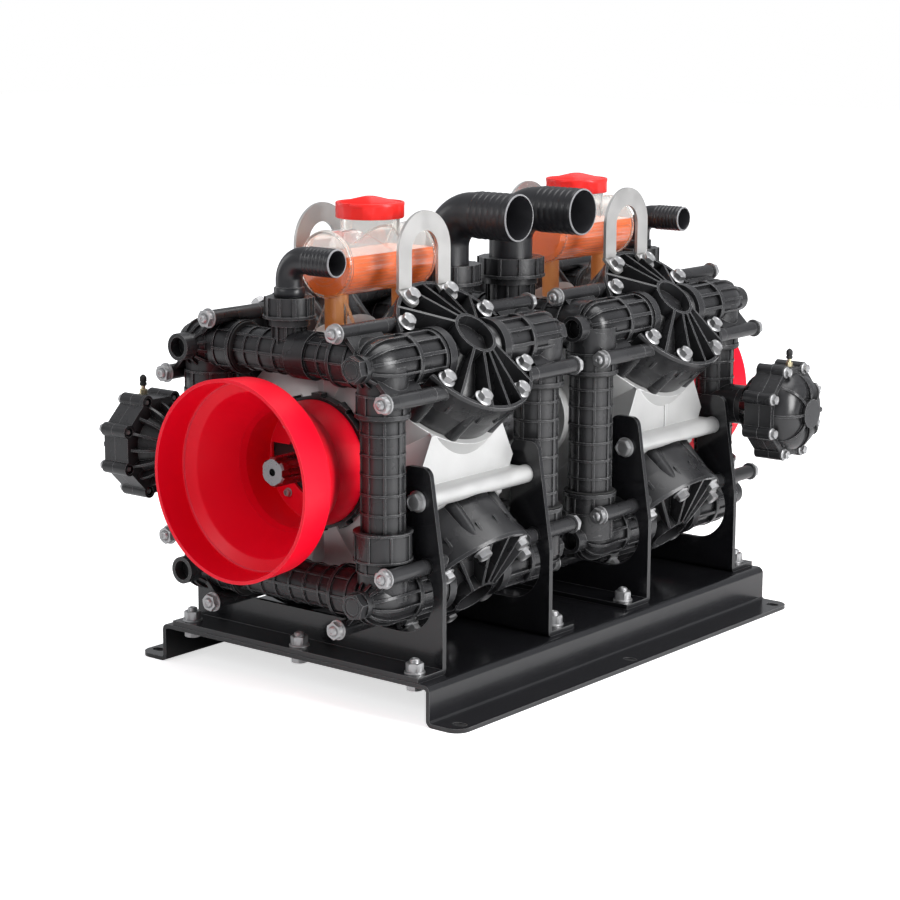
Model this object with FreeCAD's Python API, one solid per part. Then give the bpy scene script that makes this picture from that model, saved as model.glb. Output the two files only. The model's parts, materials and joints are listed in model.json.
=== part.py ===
"""Twin piston diaphragm pump: two four-cylinder star pumps on one base, driven through one splined shaft.

Millimetres. +X is the side that the hose elbows point to, +Y runs along the shaft from the drive end,
+Z is up. The origin is the middle of the base, on the floor. Both pumps are the same; the rear one
is turned half round about Z. Each pump is drawn about its own centre with its drive end towards -Y.
"""
import FreeCAD, Part
import math
import os

os.makedirs("parts", exist_ok=True)
V = FreeCAD.Vector

# Clearances
running_gap = 0.05        # radial, shaft in bearing and piston in sleeve
fit_gap = 0.1             # between pieces that are bolted or pushed together
soft_gap = 0.3            # round seals, diaphragms and swivelling flanges
crank_room = 0.5          # beside the eccentric ring at the end of its throw
shaft_room = 2.0          # covers and case around the turning shaft
rod_boss_room = 1.0       # bracket holes around the bosses of the tie rods

# Layout
shaft_height = 267.3
pump_offset = 205.5       # pump centre from the middle of the base
corner_offset = 133.0     # manifold elbow axes from the shaft axis, sideways and up
hub_face = 190.5          # outer face of the manifold elbows from the pump centre
delivery_plane = 137.0    # delivery pipes from the pump centre
suction_plane = 148.5     # suction pipes from the pump centre

# Base plate and pump brackets
base_end = 0.9            # the plate reaches this far beyond the outer brackets
base_wall_half_width = 210.0
base_flange = 42.9        # beyond the wall
base_height = 47.7
base_sheet = 5.0
base_bend = 8.0
base_corner = 18.0
base_slot_out = 28.0      # slots from the wall
base_slot_in = 20.4       # end slots from the end of the plate
base_slot_width = 12.0
base_slot_length = 18.0
bracket_sheet = 6.0
bracket_web = 98.0        # inner face of the web from the pump centre
bracket_foot = 44.0       # foot flange beyond the web
bracket_half_width = 193.0
bracket_shoulder = 155.0  # height where the outer edge starts to lean in
bracket_opening = 46.0    # radius of the opening around a manifold elbow
ear_top = 283.0
ear_outer = 173.0
bracket_corner = 12.0     # rounding of the ears
foot_bolt_x = 175.0
foot_bolt_y = 132.0       # from the pump centre
foot_bolt_radius = 6.0
ear_bolt_x = 156.0
ear_bolt_z = -24.0        # from the shaft axis
ear_bolt_radius = 6.0
base_half_length = pump_offset + bracket_web + bracket_sheet + bracket_foot + base_end
frame_bolt_corner = 10.6  # hexagon corners of the foot and ear bolts
foot_bolt_head = 7.0
foot_nut_height = 10.0
foot_bolt_tip = 4.0       # beyond the nut
ear_bolt_head = 8.0
ear_bolt_length = 24.0

# Crankcase casting
case_side = 145.0         # flat sides from the shaft axis
case_top = 133.0          # cylinder faces from the shaft axis
case_flat_half = 43.0     # half height of a flat side
case_half_width = 87.0
case_waist = 65.0
collar_radius = 93.0
crank_room_radius = 79.0
crank_room_half = 26.0
housing_radius = 62.0
housing_face = 88.0
ear_boss_radius = 11.0
case_rib = 2.5            # height and half width of the rib down the middle of a flat side

# Heads, in the frame of a head: distance along its axis, radius from it
head_rim = 200.0
head_radius = 95.0
head_foot_radius = 86.5
head_wall = 5.0
head_floor = 2.0          # above the diaphragm
head_flare = 3.0          # the skirt's lower part widens this much
head_flare_height = 25.0
head_rim_band = 4.0
hub_top = 221.0
hub_radius = 28.0
hub_wall = 3.5
hub_floor = 206.0
dome_edge = 168.0
rib_width = 3.2
rib_angles = (0, 18, 45, 135, 162, 180, 198, 225, 315, 342)
bolt_circle = 82.6
head_bolt_angles = (30, 65, 115, 150, 210, 245, 295, 330)
column_radius = 10.0
head_bolt_radius = 5.0
head_bolt_length = 80.0
bolt_head_height = 9.5
bolt_head_corner = 8.55
bolt_hole_depth = 1.0     # of a head bolt's hole beyond the bolt

# Valve chests, manifold elbows and tie rods
chest_band_start = 44.5
chest_face = 56.5
chest_band_radius = 33.0
chest_radius = 27.0
chest_ring_radius = 30.0
chest_ring = 4.5
chest_length = 50.0
chest_root = 8.0          # a chest starts this far inside the hub
chest_root_radius = 18.0
saddle_gap = 1.5          # between an elbow's barrel and the rim cut out for it
hub_boss_radius = 16.0
hub_boss_start = 170.5
dome_bulge = 2.8          # of a dome's curve beyond its straight line
plug_flats = 27.0
plug_height = 10.0
hub_bore = 11.5
dome_radius = 28.0
socket_reach = 58.0       # end of a pipe socket from the elbow's axis
socket_wall = 5.0
socket_ring = 4.5
socket_lip = 2.5
socket_depth = 12.0
rod_spread = 50.0         # tie rods each side of an elbow
rod_distance = corner_offset * math.sqrt(2)   # along the head's axis
rod_radius = 5.0
rod_boss_radius = 9.0
rod_seat = 174.0
rod_joint = 95.0          # where an elbow's rod boss meets the lug of the head
rod_end = 78.0
rod_tip = 186.0
rod_nut_height = 8.0
rod_nut_corner = 9.8
rod_lug_length = 12.0     # of a head's lug beyond the rod's end
rod_web = 5.0             # web between the two rod bosses of an elbow
rod_web_low = 8.0         # below the nuts
rod_thread = 2.0          # a rod's hole starts this far before its end
barrel_ribs = 10
barrel_rib_width = 3.4
fan_ribs = 12
fan_rib_width = 2.6
fan_rib_height = 2.6
rib_root = 2.0            # ribs start this far inside what carries them
cage_radius = 20.0
cage_half = 7.0
plug_hole = 4.0           # a hub's bore goes this far beyond its plug

# Pipes, outlets and hose elbows
delivery_pipe_radius = 24.0
suction_pipe_radius = 26.0
pipe_ring_height = 2.0
pipe_ring_width = 2.6
pipe_ring_pitch = 22.4
pipe_rings = 6
pipe_rib_height = 1.5
pipe_rib_width = 2.8
pipe_ribs = 8
outlet_x = 6.0            # outlet necks off the middle of the pump
union_radius = 32.5
union_low = -88.0         # from the shaft axis
union_high = -54.0
collar_height = 8.5        # collar under a ring nut
neck_rib = 2.2             # height and width of the ribs of an outlet's neck
neck_ribs = 12
nut_lip = 2.5
nut_lug = 2.0
nut_lugs = 10
nut_foot = 3.5             # height of the ring round the foot of a nut
nut_foot_edge = 1.5        # how far it stands out beyond the lugs
hose_flange = 4.5
shoulder_height = 10.5     # shoulder of a delivery elbow over its nut
shoulder_edge = 2.2
barb_step = 6.0           # cone between a hose elbow's bend and its arm
joint_ring_x = 8.0        # wide ring on the upper delivery pipe
joint_ring_length = 29.0
joint_ring_height = 4.0
port_wall = 2.0           # of an accumulator's port around the pipe

# Shaft, crank and pistons
journal_radius = 20.0
spline_outer = 17.45
spline_root = 14.8
spline_tooth = 8.6
spline_teeth = 6
spline_length = 72.0
journal_lead = 4.0        # a journal starts this far before its bearing
centre_hole_radius = 4.5
centre_hole_depth = 14.0
shaft_chamfer = 2.0
shaft_drive_end = 175.0
shaft_inner_end = 198.0
throw = 8.0
eccentric_radius = 26.0
eccentric_half = 20.0
ring_radius = 32.0
ring_side = 2.0           # the ring is this much narrower than the eccentric, each side
shaft_neck = 17.0
coupling_radius = 30.0
coupling_half = 46.0
bearing_radius = 36.0
bearing_start = 64.0
bearing_end = 86.0
piston_radius = 30.0
piston_bottom = 78.0
piston_top = 102.0
sleeve_wall = 5.0
sleeve_start = 73.0
sleeve_end = 112.0
yoke_wall = 6.5
yoke_side = 5.0
yoke_half = 8.0
post_half = 9.0           # half width of the posts from yoke to piston
diaphragm_radius = 74.0
diaphragm_thickness = 3.0
chamber_radius = 66.0

# Covers, shield, tank, eyes and accumulators
cover_radius = 82.0
cover_face = 100.0
cover_rim = 4.0           # depth of the castellations
cover_lug_half = 7.0
cover_lugs = 12
cover_lug_root = 12.0
seal_radius = 30.0
seal_back = 2.0           # the seal's pocket goes this far into the case
seal_sunk = 3.0           # the seal is this much shorter than the cover
inner_cover_radius = 58.0
shield_rim_radius = 116.4
shield_rim = 246.7
shield_band = 44.0
shield_neck_radius = 74.0
shield_neck_start = 150.0
shield_wall = 4.0
shield_foot = 42.0
shield_gap_half = 17.0    # gaps between the screw pads of the foot
shield_pad_edge = 3.0
tank_x = 10.0
tank_z = 231.0
tank_radius = 38.0
tank_start = -100.5
tank_end = 65.5
tank_wall = 3.0
tank_edge = 4.0           # chamfer of the barrel's rear end
tank_dome = 6.5           # bulge of its front end
tank_rim = 1.5            # height of the moulded rim
tank_rim_place = 9.0      # from the front end
tank_neck_y = -14.4
tank_neck_radius = 35.0
tank_front_leg = -74.0
tank_rear_leg = 41.0
tank_leg_radius = 11.0
tank_front_leg_radius = 14.0
tank_leg_spread = 32.0
tank_leg_foot = 6.0
cap_radius = 40.5
cap_skirt = 279.5
cap_height = 18.5
neck_in_cap = 8.5         # the tank's neck reaches this far up into the cap
cap_sides = 24
grip_height = 7.0
grip_turn = 38.0          # degrees, how far the cap is screwed round
grip_half = 6.5
grip_share = 0.9          # of the cap's radius, that the grip spans
grip_foot = 1.0           # the grip's ends above the cap's top, and its root below it
eye_x = 79.3
eye_half_width = 47.0
eye_leg = 23.0
eye_top = 291.0
eye_sheet = 4.0
eye_tab = 25.0
accumulator_reach = 284.0  # outer face from the pump centre
accumulator_port = 180.0
accumulator_flange = 216.0
accumulator_joint = 238.0
accumulator_cover = 256.0
accumulator_radius = 55.0
flange_corner = 62.0       # corners of an accumulator's eight-sided flanges
lug_radius = 8.5
accumulator_bolts = 8
accumulator_bolt_circle = 58.5
valve_boss_radius = 6.5
valve_boss_top = 58.5     # from the accumulator's axis
accumulator_bolt_radius = 3.0
accumulator_bolt_corner = 5.8
accumulator_bolt_head = 6.0
accumulator_pit = 5.5      # radius and depth of the pits around the bolts' ends
accumulator_pit_depth = 4.0
accumulator_cone = 8.0
accumulator_hollow = 11.0  # between the fins the cone lies this much inside the flange
accumulator_fins = 16
accumulator_fin_width = 3.0
accumulator_fin_bulge = 3.0
accumulator_neck = 3.0
bladder_margin = 9.0
bladder_thickness = 2.0
dome_margin = 4.0
dome_top = 14.0           # the dome's curve starts this far in from the rim
dome_start = 16.0         # and this far above it
dome_crown = 19.0
dome_crown_drop = 6.0
dome_rib = 3.0
dome_rib_drop = 2.0
air_foot = 5.0
air_stem = 3.0
air_cap = 4.6
air_cap_low = 12.0
air_cap_high = 21.0
air_height = 24.0
air_tip = 2.0

pieces = {}


def add(node, *solids):
    """Files solids under the node they belong to."""
    pieces.setdefault(node, []).extend(solids)


def aimed(shape, start, direction):
    """Turns a shape drawn along +Z to a direction and moves its foot to a point."""
    turn = FreeCAD.Rotation(V(0, 0, 1), V(*direction))
    shape.Placement = FreeCAD.Placement(V(*start), turn).multiply(shape.Placement)
    return shape


def cylinder(radius, start, length, direction=(0, 0, 1)):
    return Part.makeCylinder(radius, length, V(*start), V(*direction))


def tube(outer, inner, start, length, direction=(0, 0, 1)):
    return cylinder(outer, start, length, direction).cut(cylinder(inner, start, length, direction))


def block(low, high):
    return Part.makeBox(high[0] - low[0], high[1] - low[1], high[2] - low[2], V(*low))


def prism(sides, corner, start, length, direction=(0, 0, 1)):
    """A bar of regular section, its corners on a circle."""
    step = 2 * math.pi / sides
    points = [V(corner * math.cos(i * step), corner * math.sin(i * step), 0) for i in range(sides + 1)]
    return aimed(Part.Face(Part.makePolygon(points)).extrude(V(0, 0, length)), start, direction)


def core(radius, start, length, direction=(0, 0, 1)):
    """A screw's plain core, without its thread, eight-sided because there are so many of them."""
    return prism(8, radius, start, length, direction)


def path(points):
    """Edges through points; a point of four numbers is an arc through its first pair to its second."""
    edges = []
    here = points[0]
    for point in points[1:]:
        a = V(here[0], 0, here[1])
        if len(point) == 4:
            middle = V(point[0], 0, point[1])
            here = point[2:]
            edges.append(Part.Arc(a, middle, V(here[0], 0, here[1])).toShape())
        else:
            here = point
            edges.append(Part.makeLine(a, V(here[0], 0, here[1])))
    return edges


def closed_face(points):
    """A face in the XZ plane, its outline closed back to the first point."""
    return Part.Face(Part.Wire(path(list(points) + [points[0]])))


def bent(corner, radius, back, on):
    """An arc that rounds a corner of an outline, between its two sides' directions away from the corner."""
    cut = radius * (1 - math.sqrt(0.5))
    middle = tuple(c + cut * (a + b) for c, a, b in zip(corner, back, on))
    return middle + tuple(c + radius * b for c, b in zip(corner, on))


def turned(points, start, direction=(0, 0, 1)):
    """Turns an outline of (radius, distance) points about an axis."""
    return aimed(closed_face(points).revolve(V(0, 0, 0), V(0, 0, 1), 360), start, direction)


def fused(shapes):
    return shapes[0].fuse(list(shapes[1:])).removeSplitter()


def about_y(shape, degrees):
    """A copy turned about the shaft's direction; 90 takes up (+Z) to the right (+X)."""
    copy = shape.copy()
    copy.rotate(V(0, 0, 0), V(0, 1, 0), degrees)
    return copy


def about_z(shape, degrees):
    copy = shape.copy()
    copy.rotate(V(0, 0, 0), V(0, 0, 1), degrees)
    return copy


def set_down(shape, pump):
    """Puts a piece drawn about its pump's centre where that pump stands."""
    copy = about_z(shape, 180 if pump == "rear" else 0)
    copy.translate(V(0, pump_offset if pump == "rear" else -pump_offset, shaft_height))
    return copy


def bolt(head_corner, head_height, radius, length, seat, direction):
    """A hexagon bolt whose head stands on seat; its shank runs against direction."""
    back = tuple(-c for c in direction)
    head = prism(6, head_corner, seat, head_height, direction)
    return fused([head, core(radius, seat, length, back)])


def nut(corner, height, radius, seat, direction):
    return prism(6, corner, seat, height, direction).cut(core(radius + fit_gap, seat, height, direction))


def head_bolt_places():
    """Tangential and lengthwise places of the bolts of one head."""
    for degrees in head_bolt_angles:
        angle = math.radians(degrees)
        yield bolt_circle * math.sin(angle), bolt_circle * math.cos(angle)


def base_plate():
    """A folded hat section with slotted flanges."""
    inner_wall = base_wall_half_width - base_sheet
    under = base_height - base_sheet
    wide = base_bend
    tight = base_bend - base_sheet
    edge = base_wall_half_width + base_flange
    outside = [(edge, 0), (edge, base_sheet),
               (base_wall_half_width + tight, base_sheet),
               bent((base_wall_half_width, base_sheet), tight, (1, 0), (0, 1)),
               (base_wall_half_width, base_height - wide),
               bent((base_wall_half_width, base_height), wide, (0, -1), (-1, 0))]
    inside = [(inner_wall - tight, under), bent((inner_wall, under), tight, (-1, 0), (0, -1)),
              (inner_wall, wide), bent((inner_wall, 0), wide, (0, 1), (1, 0))]
    half = closed_face(outside + [(0, base_height), (0, under)] + inside)
    plate = half.extrude(V(0, 2 * base_half_length, 0))
    plate.translate(V(0, -base_half_length, 0))
    plate = fused([plate, about_z(plate, 180)])
    footprint = block((-edge, -base_half_length, 0), (edge, base_half_length, base_height))
    corners = [e for e in footprint.Edges if abs(e.Vertexes[0].X - e.Vertexes[1].X) < 0.01
               and abs(e.Vertexes[0].Y - e.Vertexes[1].Y) < 0.01]
    plate = plate.common(footprint.makeFillet(base_corner, corners))
    slot_end = base_slot_width / 2
    half_slot = base_slot_length / 2 - slot_end
    slot_x = base_wall_half_width + base_slot_out
    slot_y = base_half_length - base_slot_in
    for x in (-slot_x, slot_x):
        for y in (-slot_y, 0, slot_y):
            slot = block((x - half_slot, y - slot_end, 0), (x + half_slot, y + slot_end, base_sheet))
            ends = [cylinder(slot_end, (x + side * half_slot, y, 0), base_sheet) for side in (-1, 1)]
            plate = plate.cut(fused([slot] + ends))
    for x in (-foot_bolt_x, 0, foot_bolt_x):
        for y in foot_bolt_rows():
            plate = plate.cut(core(foot_bolt_radius + fit_gap, (x, y, under), base_sheet))
    return plate


def foot_bolt_rows():
    return [pump + side for pump in (-pump_offset, pump_offset) for side in (-foot_bolt_y, foot_bolt_y)]


def bracket():
    """The drive-end bracket of a pump, on the floor: folded foot, two arms and an ear on each."""
    floor = base_height
    inner = corner_offset
    middle = shaft_height - corner_offset
    outline = [(bracket_half_width, floor), (bracket_half_width, bracket_shoulder), (ear_outer, ear_top),
               (inner, ear_top), (inner, middle + bracket_opening),
               (inner + bracket_opening, middle, inner, middle - bracket_opening),
               (-inner, middle - bracket_opening),
               (-inner - bracket_opening, middle, -inner, middle + bracket_opening), (-inner, ear_top),
               (-ear_outer, ear_top), (-bracket_half_width, bracket_shoulder), (-bracket_half_width, floor)]
    web = closed_face(outline).extrude(V(0, -bracket_sheet, 0))
    web.translate(V(0, -bracket_web, 0))

    def corner_edges(x, z):
        return [e for e in web.Edges if len(e.Vertexes) == 2
                and all(abs(abs(v.X) - x) < 0.01 and abs(v.Z - z) < 0.01 for v in e.Vertexes)]

    web = web.makeFillet(bracket_corner, corner_edges(ear_outer, ear_top) + corner_edges(inner, ear_top))
    foot_end = -bracket_web - bracket_sheet - bracket_foot
    foot = block((-bracket_half_width, foot_end, floor),
                 (bracket_half_width, -bracket_web, floor + bracket_sheet))
    shape = fused([web, foot])
    bend = [e for e in shape.Edges if len(e.Vertexes) == 2
            and all(abs(v.Z - floor) < 0.01 and abs(v.Y + bracket_web) < 0.01 for v in e.Vertexes)]
    shape = shape.makeFillet(bracket_sheet, bend)
    for x in (-foot_bolt_x, 0, foot_bolt_x):
        shape = shape.cut(core(foot_bolt_radius + fit_gap, (x, -foot_bolt_y, floor), bracket_sheet))
    for x in (-ear_bolt_x, ear_bolt_x):
        z = shaft_height + ear_bolt_z
        shape = shape.cut(core(ear_bolt_radius + fit_gap, (x, -bracket_web, z), bracket_sheet, (0, -1, 0)))
    for x, z in rod_places():
        start = (x, -bracket_web, shaft_height + z)
        hole = cylinder(rod_boss_radius + rod_boss_room, start, bracket_sheet, (0, -1, 0))
        shape = shape.cut(hole)
    return shape


def rod_places():
    """The eight tie rods of one manifold, across and up from the shaft."""
    reach = rod_distance / math.sqrt(2)
    step = rod_spread / math.sqrt(2)
    places = []
    for x_side in (-1, 1):
        for z_side in (-1, 1):
            places.append((x_side * (reach + step), z_side * (reach - step)))
            places.append((x_side * (reach - step), z_side * (reach + step)))
    return places


def crankcase():
    """The cast case: flat sides between four cylinder collars, bored for sleeves, crank and bearings."""
    octagon = [(case_side, -case_flat_half), (case_side, case_flat_half), (case_flat_half, case_side),
               (-case_flat_half, case_side), (-case_side, case_flat_half), (-case_side, -case_flat_half),
               (-case_flat_half, -case_side), (case_flat_half, -case_side)]
    body = closed_face(octagon).extrude(V(0, 2 * case_waist, 0))
    body.translate(V(0, -case_waist, 0))
    waist = [(case_half_width, 0), (case_waist, case_flat_half), (-case_waist, case_flat_half),
             (-case_half_width, 0), (-case_waist, -case_flat_half), (case_waist, -case_flat_half)]
    bulge = closed_face(waist).extrude(V(0, 2 * case_side, 0))
    bulge.translate(V(0, -case_side, 0))
    sideways = about_z(bulge, 90)
    upright = about_y(sideways, 90)
    cross = [cylinder(collar_radius, (-s * case_top / math.sqrt(2), 0, -case_top / math.sqrt(2)),
                      2 * case_top, (s, 0, 1)) for s in (-1, 1)]
    housing = cylinder(housing_radius, (0, -housing_face, 0), 2 * housing_face, (0, 1, 0))
    bosses = [cylinder(ear_boss_radius, (x, -bracket_web, ear_bolt_z), 2 * bracket_web, (0, 1, 0))
              for x in (-ear_bolt_x, ear_bolt_x)]
    pads = [block((x - ear_boss_radius, -case_half_width, ear_bolt_z - ear_boss_radius),
                  (x + ear_boss_radius, case_half_width, ear_bolt_z + ear_boss_radius))
            for x in (-case_side, case_side)]
    side_reach = case_side + case_rib
    rib = block((-side_reach, -case_rib, -case_flat_half), (side_reach, case_rib, case_flat_half))
    case = fused([body, sideways, upright, *cross, housing, *bosses, *pads, rib])

    cuts = [cylinder(crank_room_radius, (0, -crank_room_half, 0), 2 * crank_room_half, (0, 1, 0))]
    seat = cylinder(head_radius, (0, 0, case_top), head_rim - case_top)
    cuts += [about_y(seat, degrees) for degrees in (45, 135, 225, 315)]
    cuts += [cylinder(cover_radius + fit_gap, (0, side * housing_face, 0), head_radius, (0, side, 0))
             for side in (-1, 1)]
    cuts.append(cylinder(journal_radius + shaft_room, (0, -housing_face, 0), 2 * housing_face, (0, 1, 0)))
    for side in (-1, 1):
        seat = (0, side * (bearing_start - fit_gap), 0)
        cuts.append(cylinder(bearing_radius + running_gap, seat, housing_face, (0, side, 0)))
        for x in (-ear_bolt_x, ear_bolt_x):
            seat = (x, side * bracket_web, ear_bolt_z)
            cuts.append(core(ear_bolt_radius + fit_gap, seat, ear_bolt_length, (0, -side, 0)))
    sleeve_bore = piston_radius + sleeve_wall + fit_gap
    seat = case_top - diaphragm_thickness - soft_gap
    chamber = [(0, 0), (sleeve_bore, 0), (sleeve_bore, sleeve_end), (chamber_radius, seat),
               (diaphragm_radius + soft_gap, seat), (diaphragm_radius + soft_gap, case_top), (0, case_top)]
    bore = turned(chamber, (0, 0, 0))
    hole_end = head_rim - head_bolt_length - bolt_hole_depth
    for t, y in head_bolt_places():
        bore = bore.fuse(core(head_bolt_radius + fit_gap, (t, y, hole_end), case_top - hole_end))
    cuts += [about_y(bore, degrees) for degrees in (45, 135, 225, 315)]
    return case.cut(cuts)


def head():
    """One cylinder head along +Z: tapered skirt, open ribbed top, bolt columns, hub and two valve chests."""
    foot = case_top
    flare = foot + diaphragm_thickness + head_floor + head_flare_height
    skirt = turned([(0, foot), (head_foot_radius, foot), (head_foot_radius + head_flare, flare),
                    (head_radius, head_rim - head_rim_band), (head_radius - 1, head_rim),
                    (head_radius - head_wall, head_rim), (head_radius - head_wall, dome_edge),
                    (hub_radius - hub_wall, hub_floor), (0, hub_floor)], (0, 0, 0))
    hub = tube(hub_radius, hub_radius - hub_wall, (0, 0, dome_edge), hub_top - dome_edge)
    columns = [cylinder(column_radius, (t, y, foot), head_rim - foot) for t, y in head_bolt_places()]
    rib_outline = [(hub_radius - hub_wall / 2, dome_edge), (hub_radius - hub_wall / 2, hub_top),
                   (hub_radius, hub_top), (head_radius - head_wall / 2, head_rim),
                   (head_radius - head_wall / 2, dome_edge)]
    rib = closed_face(rib_outline).extrude(V(0, rib_width, 0))
    rib.translate(V(0, -rib_width / 2, 0))
    ribs = [about_z(rib, degrees) for degrees in rib_angles]
    chests = []
    root = hub_radius - chest_root
    band = chest_band_start - root
    face = chest_face - root
    lug_start = rod_end - rod_lug_length
    for side in (-1, 1):
        chests.append(turned([(0, 0), (chest_root_radius, 0), (chest_radius, band), (chest_band_radius, band),
                              (chest_band_radius, face), (0, face)],
                             (0, side * root, rod_distance), (0, side, 0)))
        for t in (-rod_spread, rod_spread):
            start = (t, side * lug_start, rod_distance)
            chests.append(cylinder(rod_boss_radius, start, rod_joint - lug_start - fit_gap, (0, side, 0)))
    body = fused([skirt, hub, *columns, *ribs, *chests])

    cuts = []
    saddle = chest_ring_radius + saddle_gap
    hole_start = rod_end - rod_thread
    for side in (-1, 1):
        near, far = sorted((side * chest_face, side * 2 * head_radius))
        cuts.append(cylinder(saddle, (0, side * chest_face, rod_distance), head_radius, (0, side, 0)))
        cuts.append(block((-saddle, near, rod_distance), (saddle, far, hub_top)))
        cuts.append(core(cage_radius + fit_gap, (0, side * (chest_face - cage_half), rod_distance), cage_half,
                         (0, side, 0)))
        for t in (-rod_spread, rod_spread):
            start = (t, side * hole_start, rod_distance)
            cuts.append(core(rod_radius + fit_gap, start, rod_joint - hole_start, (0, side, 0)))
    for t, y in head_bolt_places():
        cuts.append(core(head_bolt_radius + fit_gap, (t, y, foot), head_rim - foot))
    return body.cut(cuts)


def head_under_eye():
    """The upper heads have two lower bolt seats, which take the tabs of a lifting eye."""
    bend = eye_bend()
    inner = eye_half_width - eye_leg - soft_gap
    outer = eye_half_width + soft_gap
    seats = [block((bend - eye_leg, min(s * inner, s * outer), head_rim - eye_sheet),
                   (bend + eye_tab + soft_gap, max(s * inner, s * outer), hub_top)) for s in (-1, 1)]
    return head().cut(seats)


def eye_bend():
    """Where a lifting eye bends onto the rim of its head, across the head."""
    return eye_x * math.sqrt(2) - head_rim


def eye_seat(t, y):
    return t < 0 and abs(y) < bolt_circle / 2


def head_bolts():
    return [bolt(bolt_head_corner, bolt_head_height, head_bolt_radius, head_bolt_length, (t, y, head_rim),
                 (0, 0, 1)) for t, y in head_bolt_places()]


def lifting_eye():
    """A bent plate in the head's frame: two tabs under head bolts, two legs and a round top."""
    inner = eye_half_width - eye_leg
    top = eye_top - eye_half_width
    foot_z = head_rim * math.sqrt(2) - eye_x
    outline = [(eye_half_width, foot_z), (eye_half_width, top),
               (0, top + eye_half_width, -eye_half_width, top), (-eye_half_width, foot_z), (-inner, foot_z),
               (-inner, top), (0, top + inner, inner, top), (inner, foot_z)]
    plate = closed_face(outline).extrude(V(0, eye_sheet, 0))
    plate.translate(V(0, -eye_sheet / 2, 0))
    plate.rotate(V(0, 0, 0), V(0, 0, 1), 90)
    plate.translate(V(eye_x, 0, 0))
    shapes = [plate]
    bend_t = eye_bend()
    round_end = eye_leg / 2
    tab_end = bend_t + eye_tab - round_end
    for y in (-eye_half_width, inner):
        tab = block((bend_t, y, head_rim - eye_sheet), (tab_end, y + eye_leg, head_rim))
        end = cylinder(round_end, (tab_end, y + round_end, head_rim - eye_sheet), eye_sheet)
        knee = cylinder(eye_sheet / 2, (bend_t, y, head_rim - eye_sheet / 2), eye_leg, (0, 1, 0))
        shapes += [about_y(shape, 45) for shape in (tab, end, knee)]
    eye = fused(shapes)
    holes = [about_y(core(head_bolt_radius + fit_gap, (t, y, head_rim - eye_sheet), eye_sheet), 45)
             for t, y in head_bolt_places() if eye_seat(t, y)]
    return eye.cut(holes)


def elbow(plane, pipe_radius, open_hub, extras=()):
    """The elbow at the drive end's upper right corner: valve barrel, dome, hub and two sockets."""
    joint = chest_face + chest_length
    barrel = [(0, chest_face), (chest_ring_radius, chest_face), (chest_ring_radius, chest_face + chest_ring),
              (chest_radius, chest_face + chest_ring), (chest_radius, joint - chest_ring),
              (chest_ring_radius, joint - chest_ring), (chest_ring_radius, joint), (dome_radius, joint),
              (dome_radius, plane)]
    dome_side = (dome_radius + hub_boss_radius) / 2 + dome_bulge
    dome_height = (plane + hub_boss_start) / 2 + dome_bulge
    hub_end = hub_face if open_hub else hub_face - plug_height
    dome = [(dome_side, dome_height, hub_boss_radius, hub_boss_start), (hub_boss_radius, hub_end)]
    recess_end = hub_end - plug_height - plug_hole
    recess = [(hub_bore, hub_end), (hub_bore, recess_end), (0, recess_end)]
    axis_foot = (corner_offset, 0, corner_offset)
    shapes = [turned(barrel + dome + recess, axis_foot, (0, -1, 0))]
    rib = block((chest_radius - rib_root, -barrel_rib_width / 2, chest_face + rib_root),
                (chest_ring_radius, barrel_rib_width / 2, joint - rib_root))
    high = fan_rib_height
    bow = high * math.sqrt(0.5)
    fin = closed_face([(hub_boss_radius - rib_root, joint), (dome_radius + high, joint),
                       (dome_radius + high, plane),
                       (dome_side + bow, dome_height + bow, hub_boss_radius, hub_boss_start + high),
                       (hub_boss_radius - rib_root, hub_boss_start)])
    fin = fin.extrude(V(0, fan_rib_width, 0))
    fin.translate(V(0, -fan_rib_width / 2, 0))
    for piece, count in ((rib, barrel_ribs), (fin, fan_ribs)):
        for i in range(count):
            shapes.append(aimed(about_z(piece, (i + 0.5) * 360 / count), axis_foot, (0, -1, 0)))
    for direction in ((-1, 0, 0), (0, 0, -1)):
        start = (corner_offset, -plane, corner_offset)
        shapes.append(cylinder(pipe_radius + socket_wall, start, socket_reach, direction))
        ring_start = tuple(s + d * (socket_reach - socket_ring) for s, d in zip(start, direction))
        shapes.append(cylinder(pipe_radius + socket_wall + socket_lip, ring_start, socket_ring, direction))
    diagonal = V(1, 0, -1).normalize()
    for side in (-1, 1):
        x = rod_distance / math.sqrt(2) + side * rod_spread * diagonal.x
        z = rod_distance / math.sqrt(2) + side * rod_spread * diagonal.z
        shapes.append(cylinder(rod_boss_radius, (x, -rod_joint, z), rod_seat - rod_joint, (0, -1, 0)))
    web_top = rod_seat - rod_web_low
    web = closed_face([(-rod_spread, joint), (rod_spread, joint), (rod_spread, web_top),
                       (-rod_spread, web_top)])
    web = web.extrude(V(0, rod_web, 0))
    web.translate(V(0, rod_distance - rod_web / 2, 0))
    web.rotate(V(0, 0, 0), V(1, 0, 0), 90)
    shapes.append(about_y(web, 45))
    body = fused(shapes + list(extras))

    cuts = []
    for direction in ((-1, 0, 0), (0, 0, -1)):
        start = (corner_offset, -plane, corner_offset)
        mouth = tuple(s + d * (socket_reach - socket_depth) for s, d in zip(start, direction))
        cuts.append(cylinder(pipe_radius + fit_gap, mouth, socket_reach, direction))
    for x, z in rod_places():
        if x > 0 and z > 0:
            cuts.append(core(rod_radius + fit_gap, (x, -rod_joint, z), rod_seat - rod_joint, (0, -1, 0)))
    cage_start = (corner_offset, -chest_face, corner_offset)
    cuts.append(core(cage_radius + fit_gap, cage_start, cage_half, (0, -1, 0)))
    return body.cut(cuts)


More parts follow.
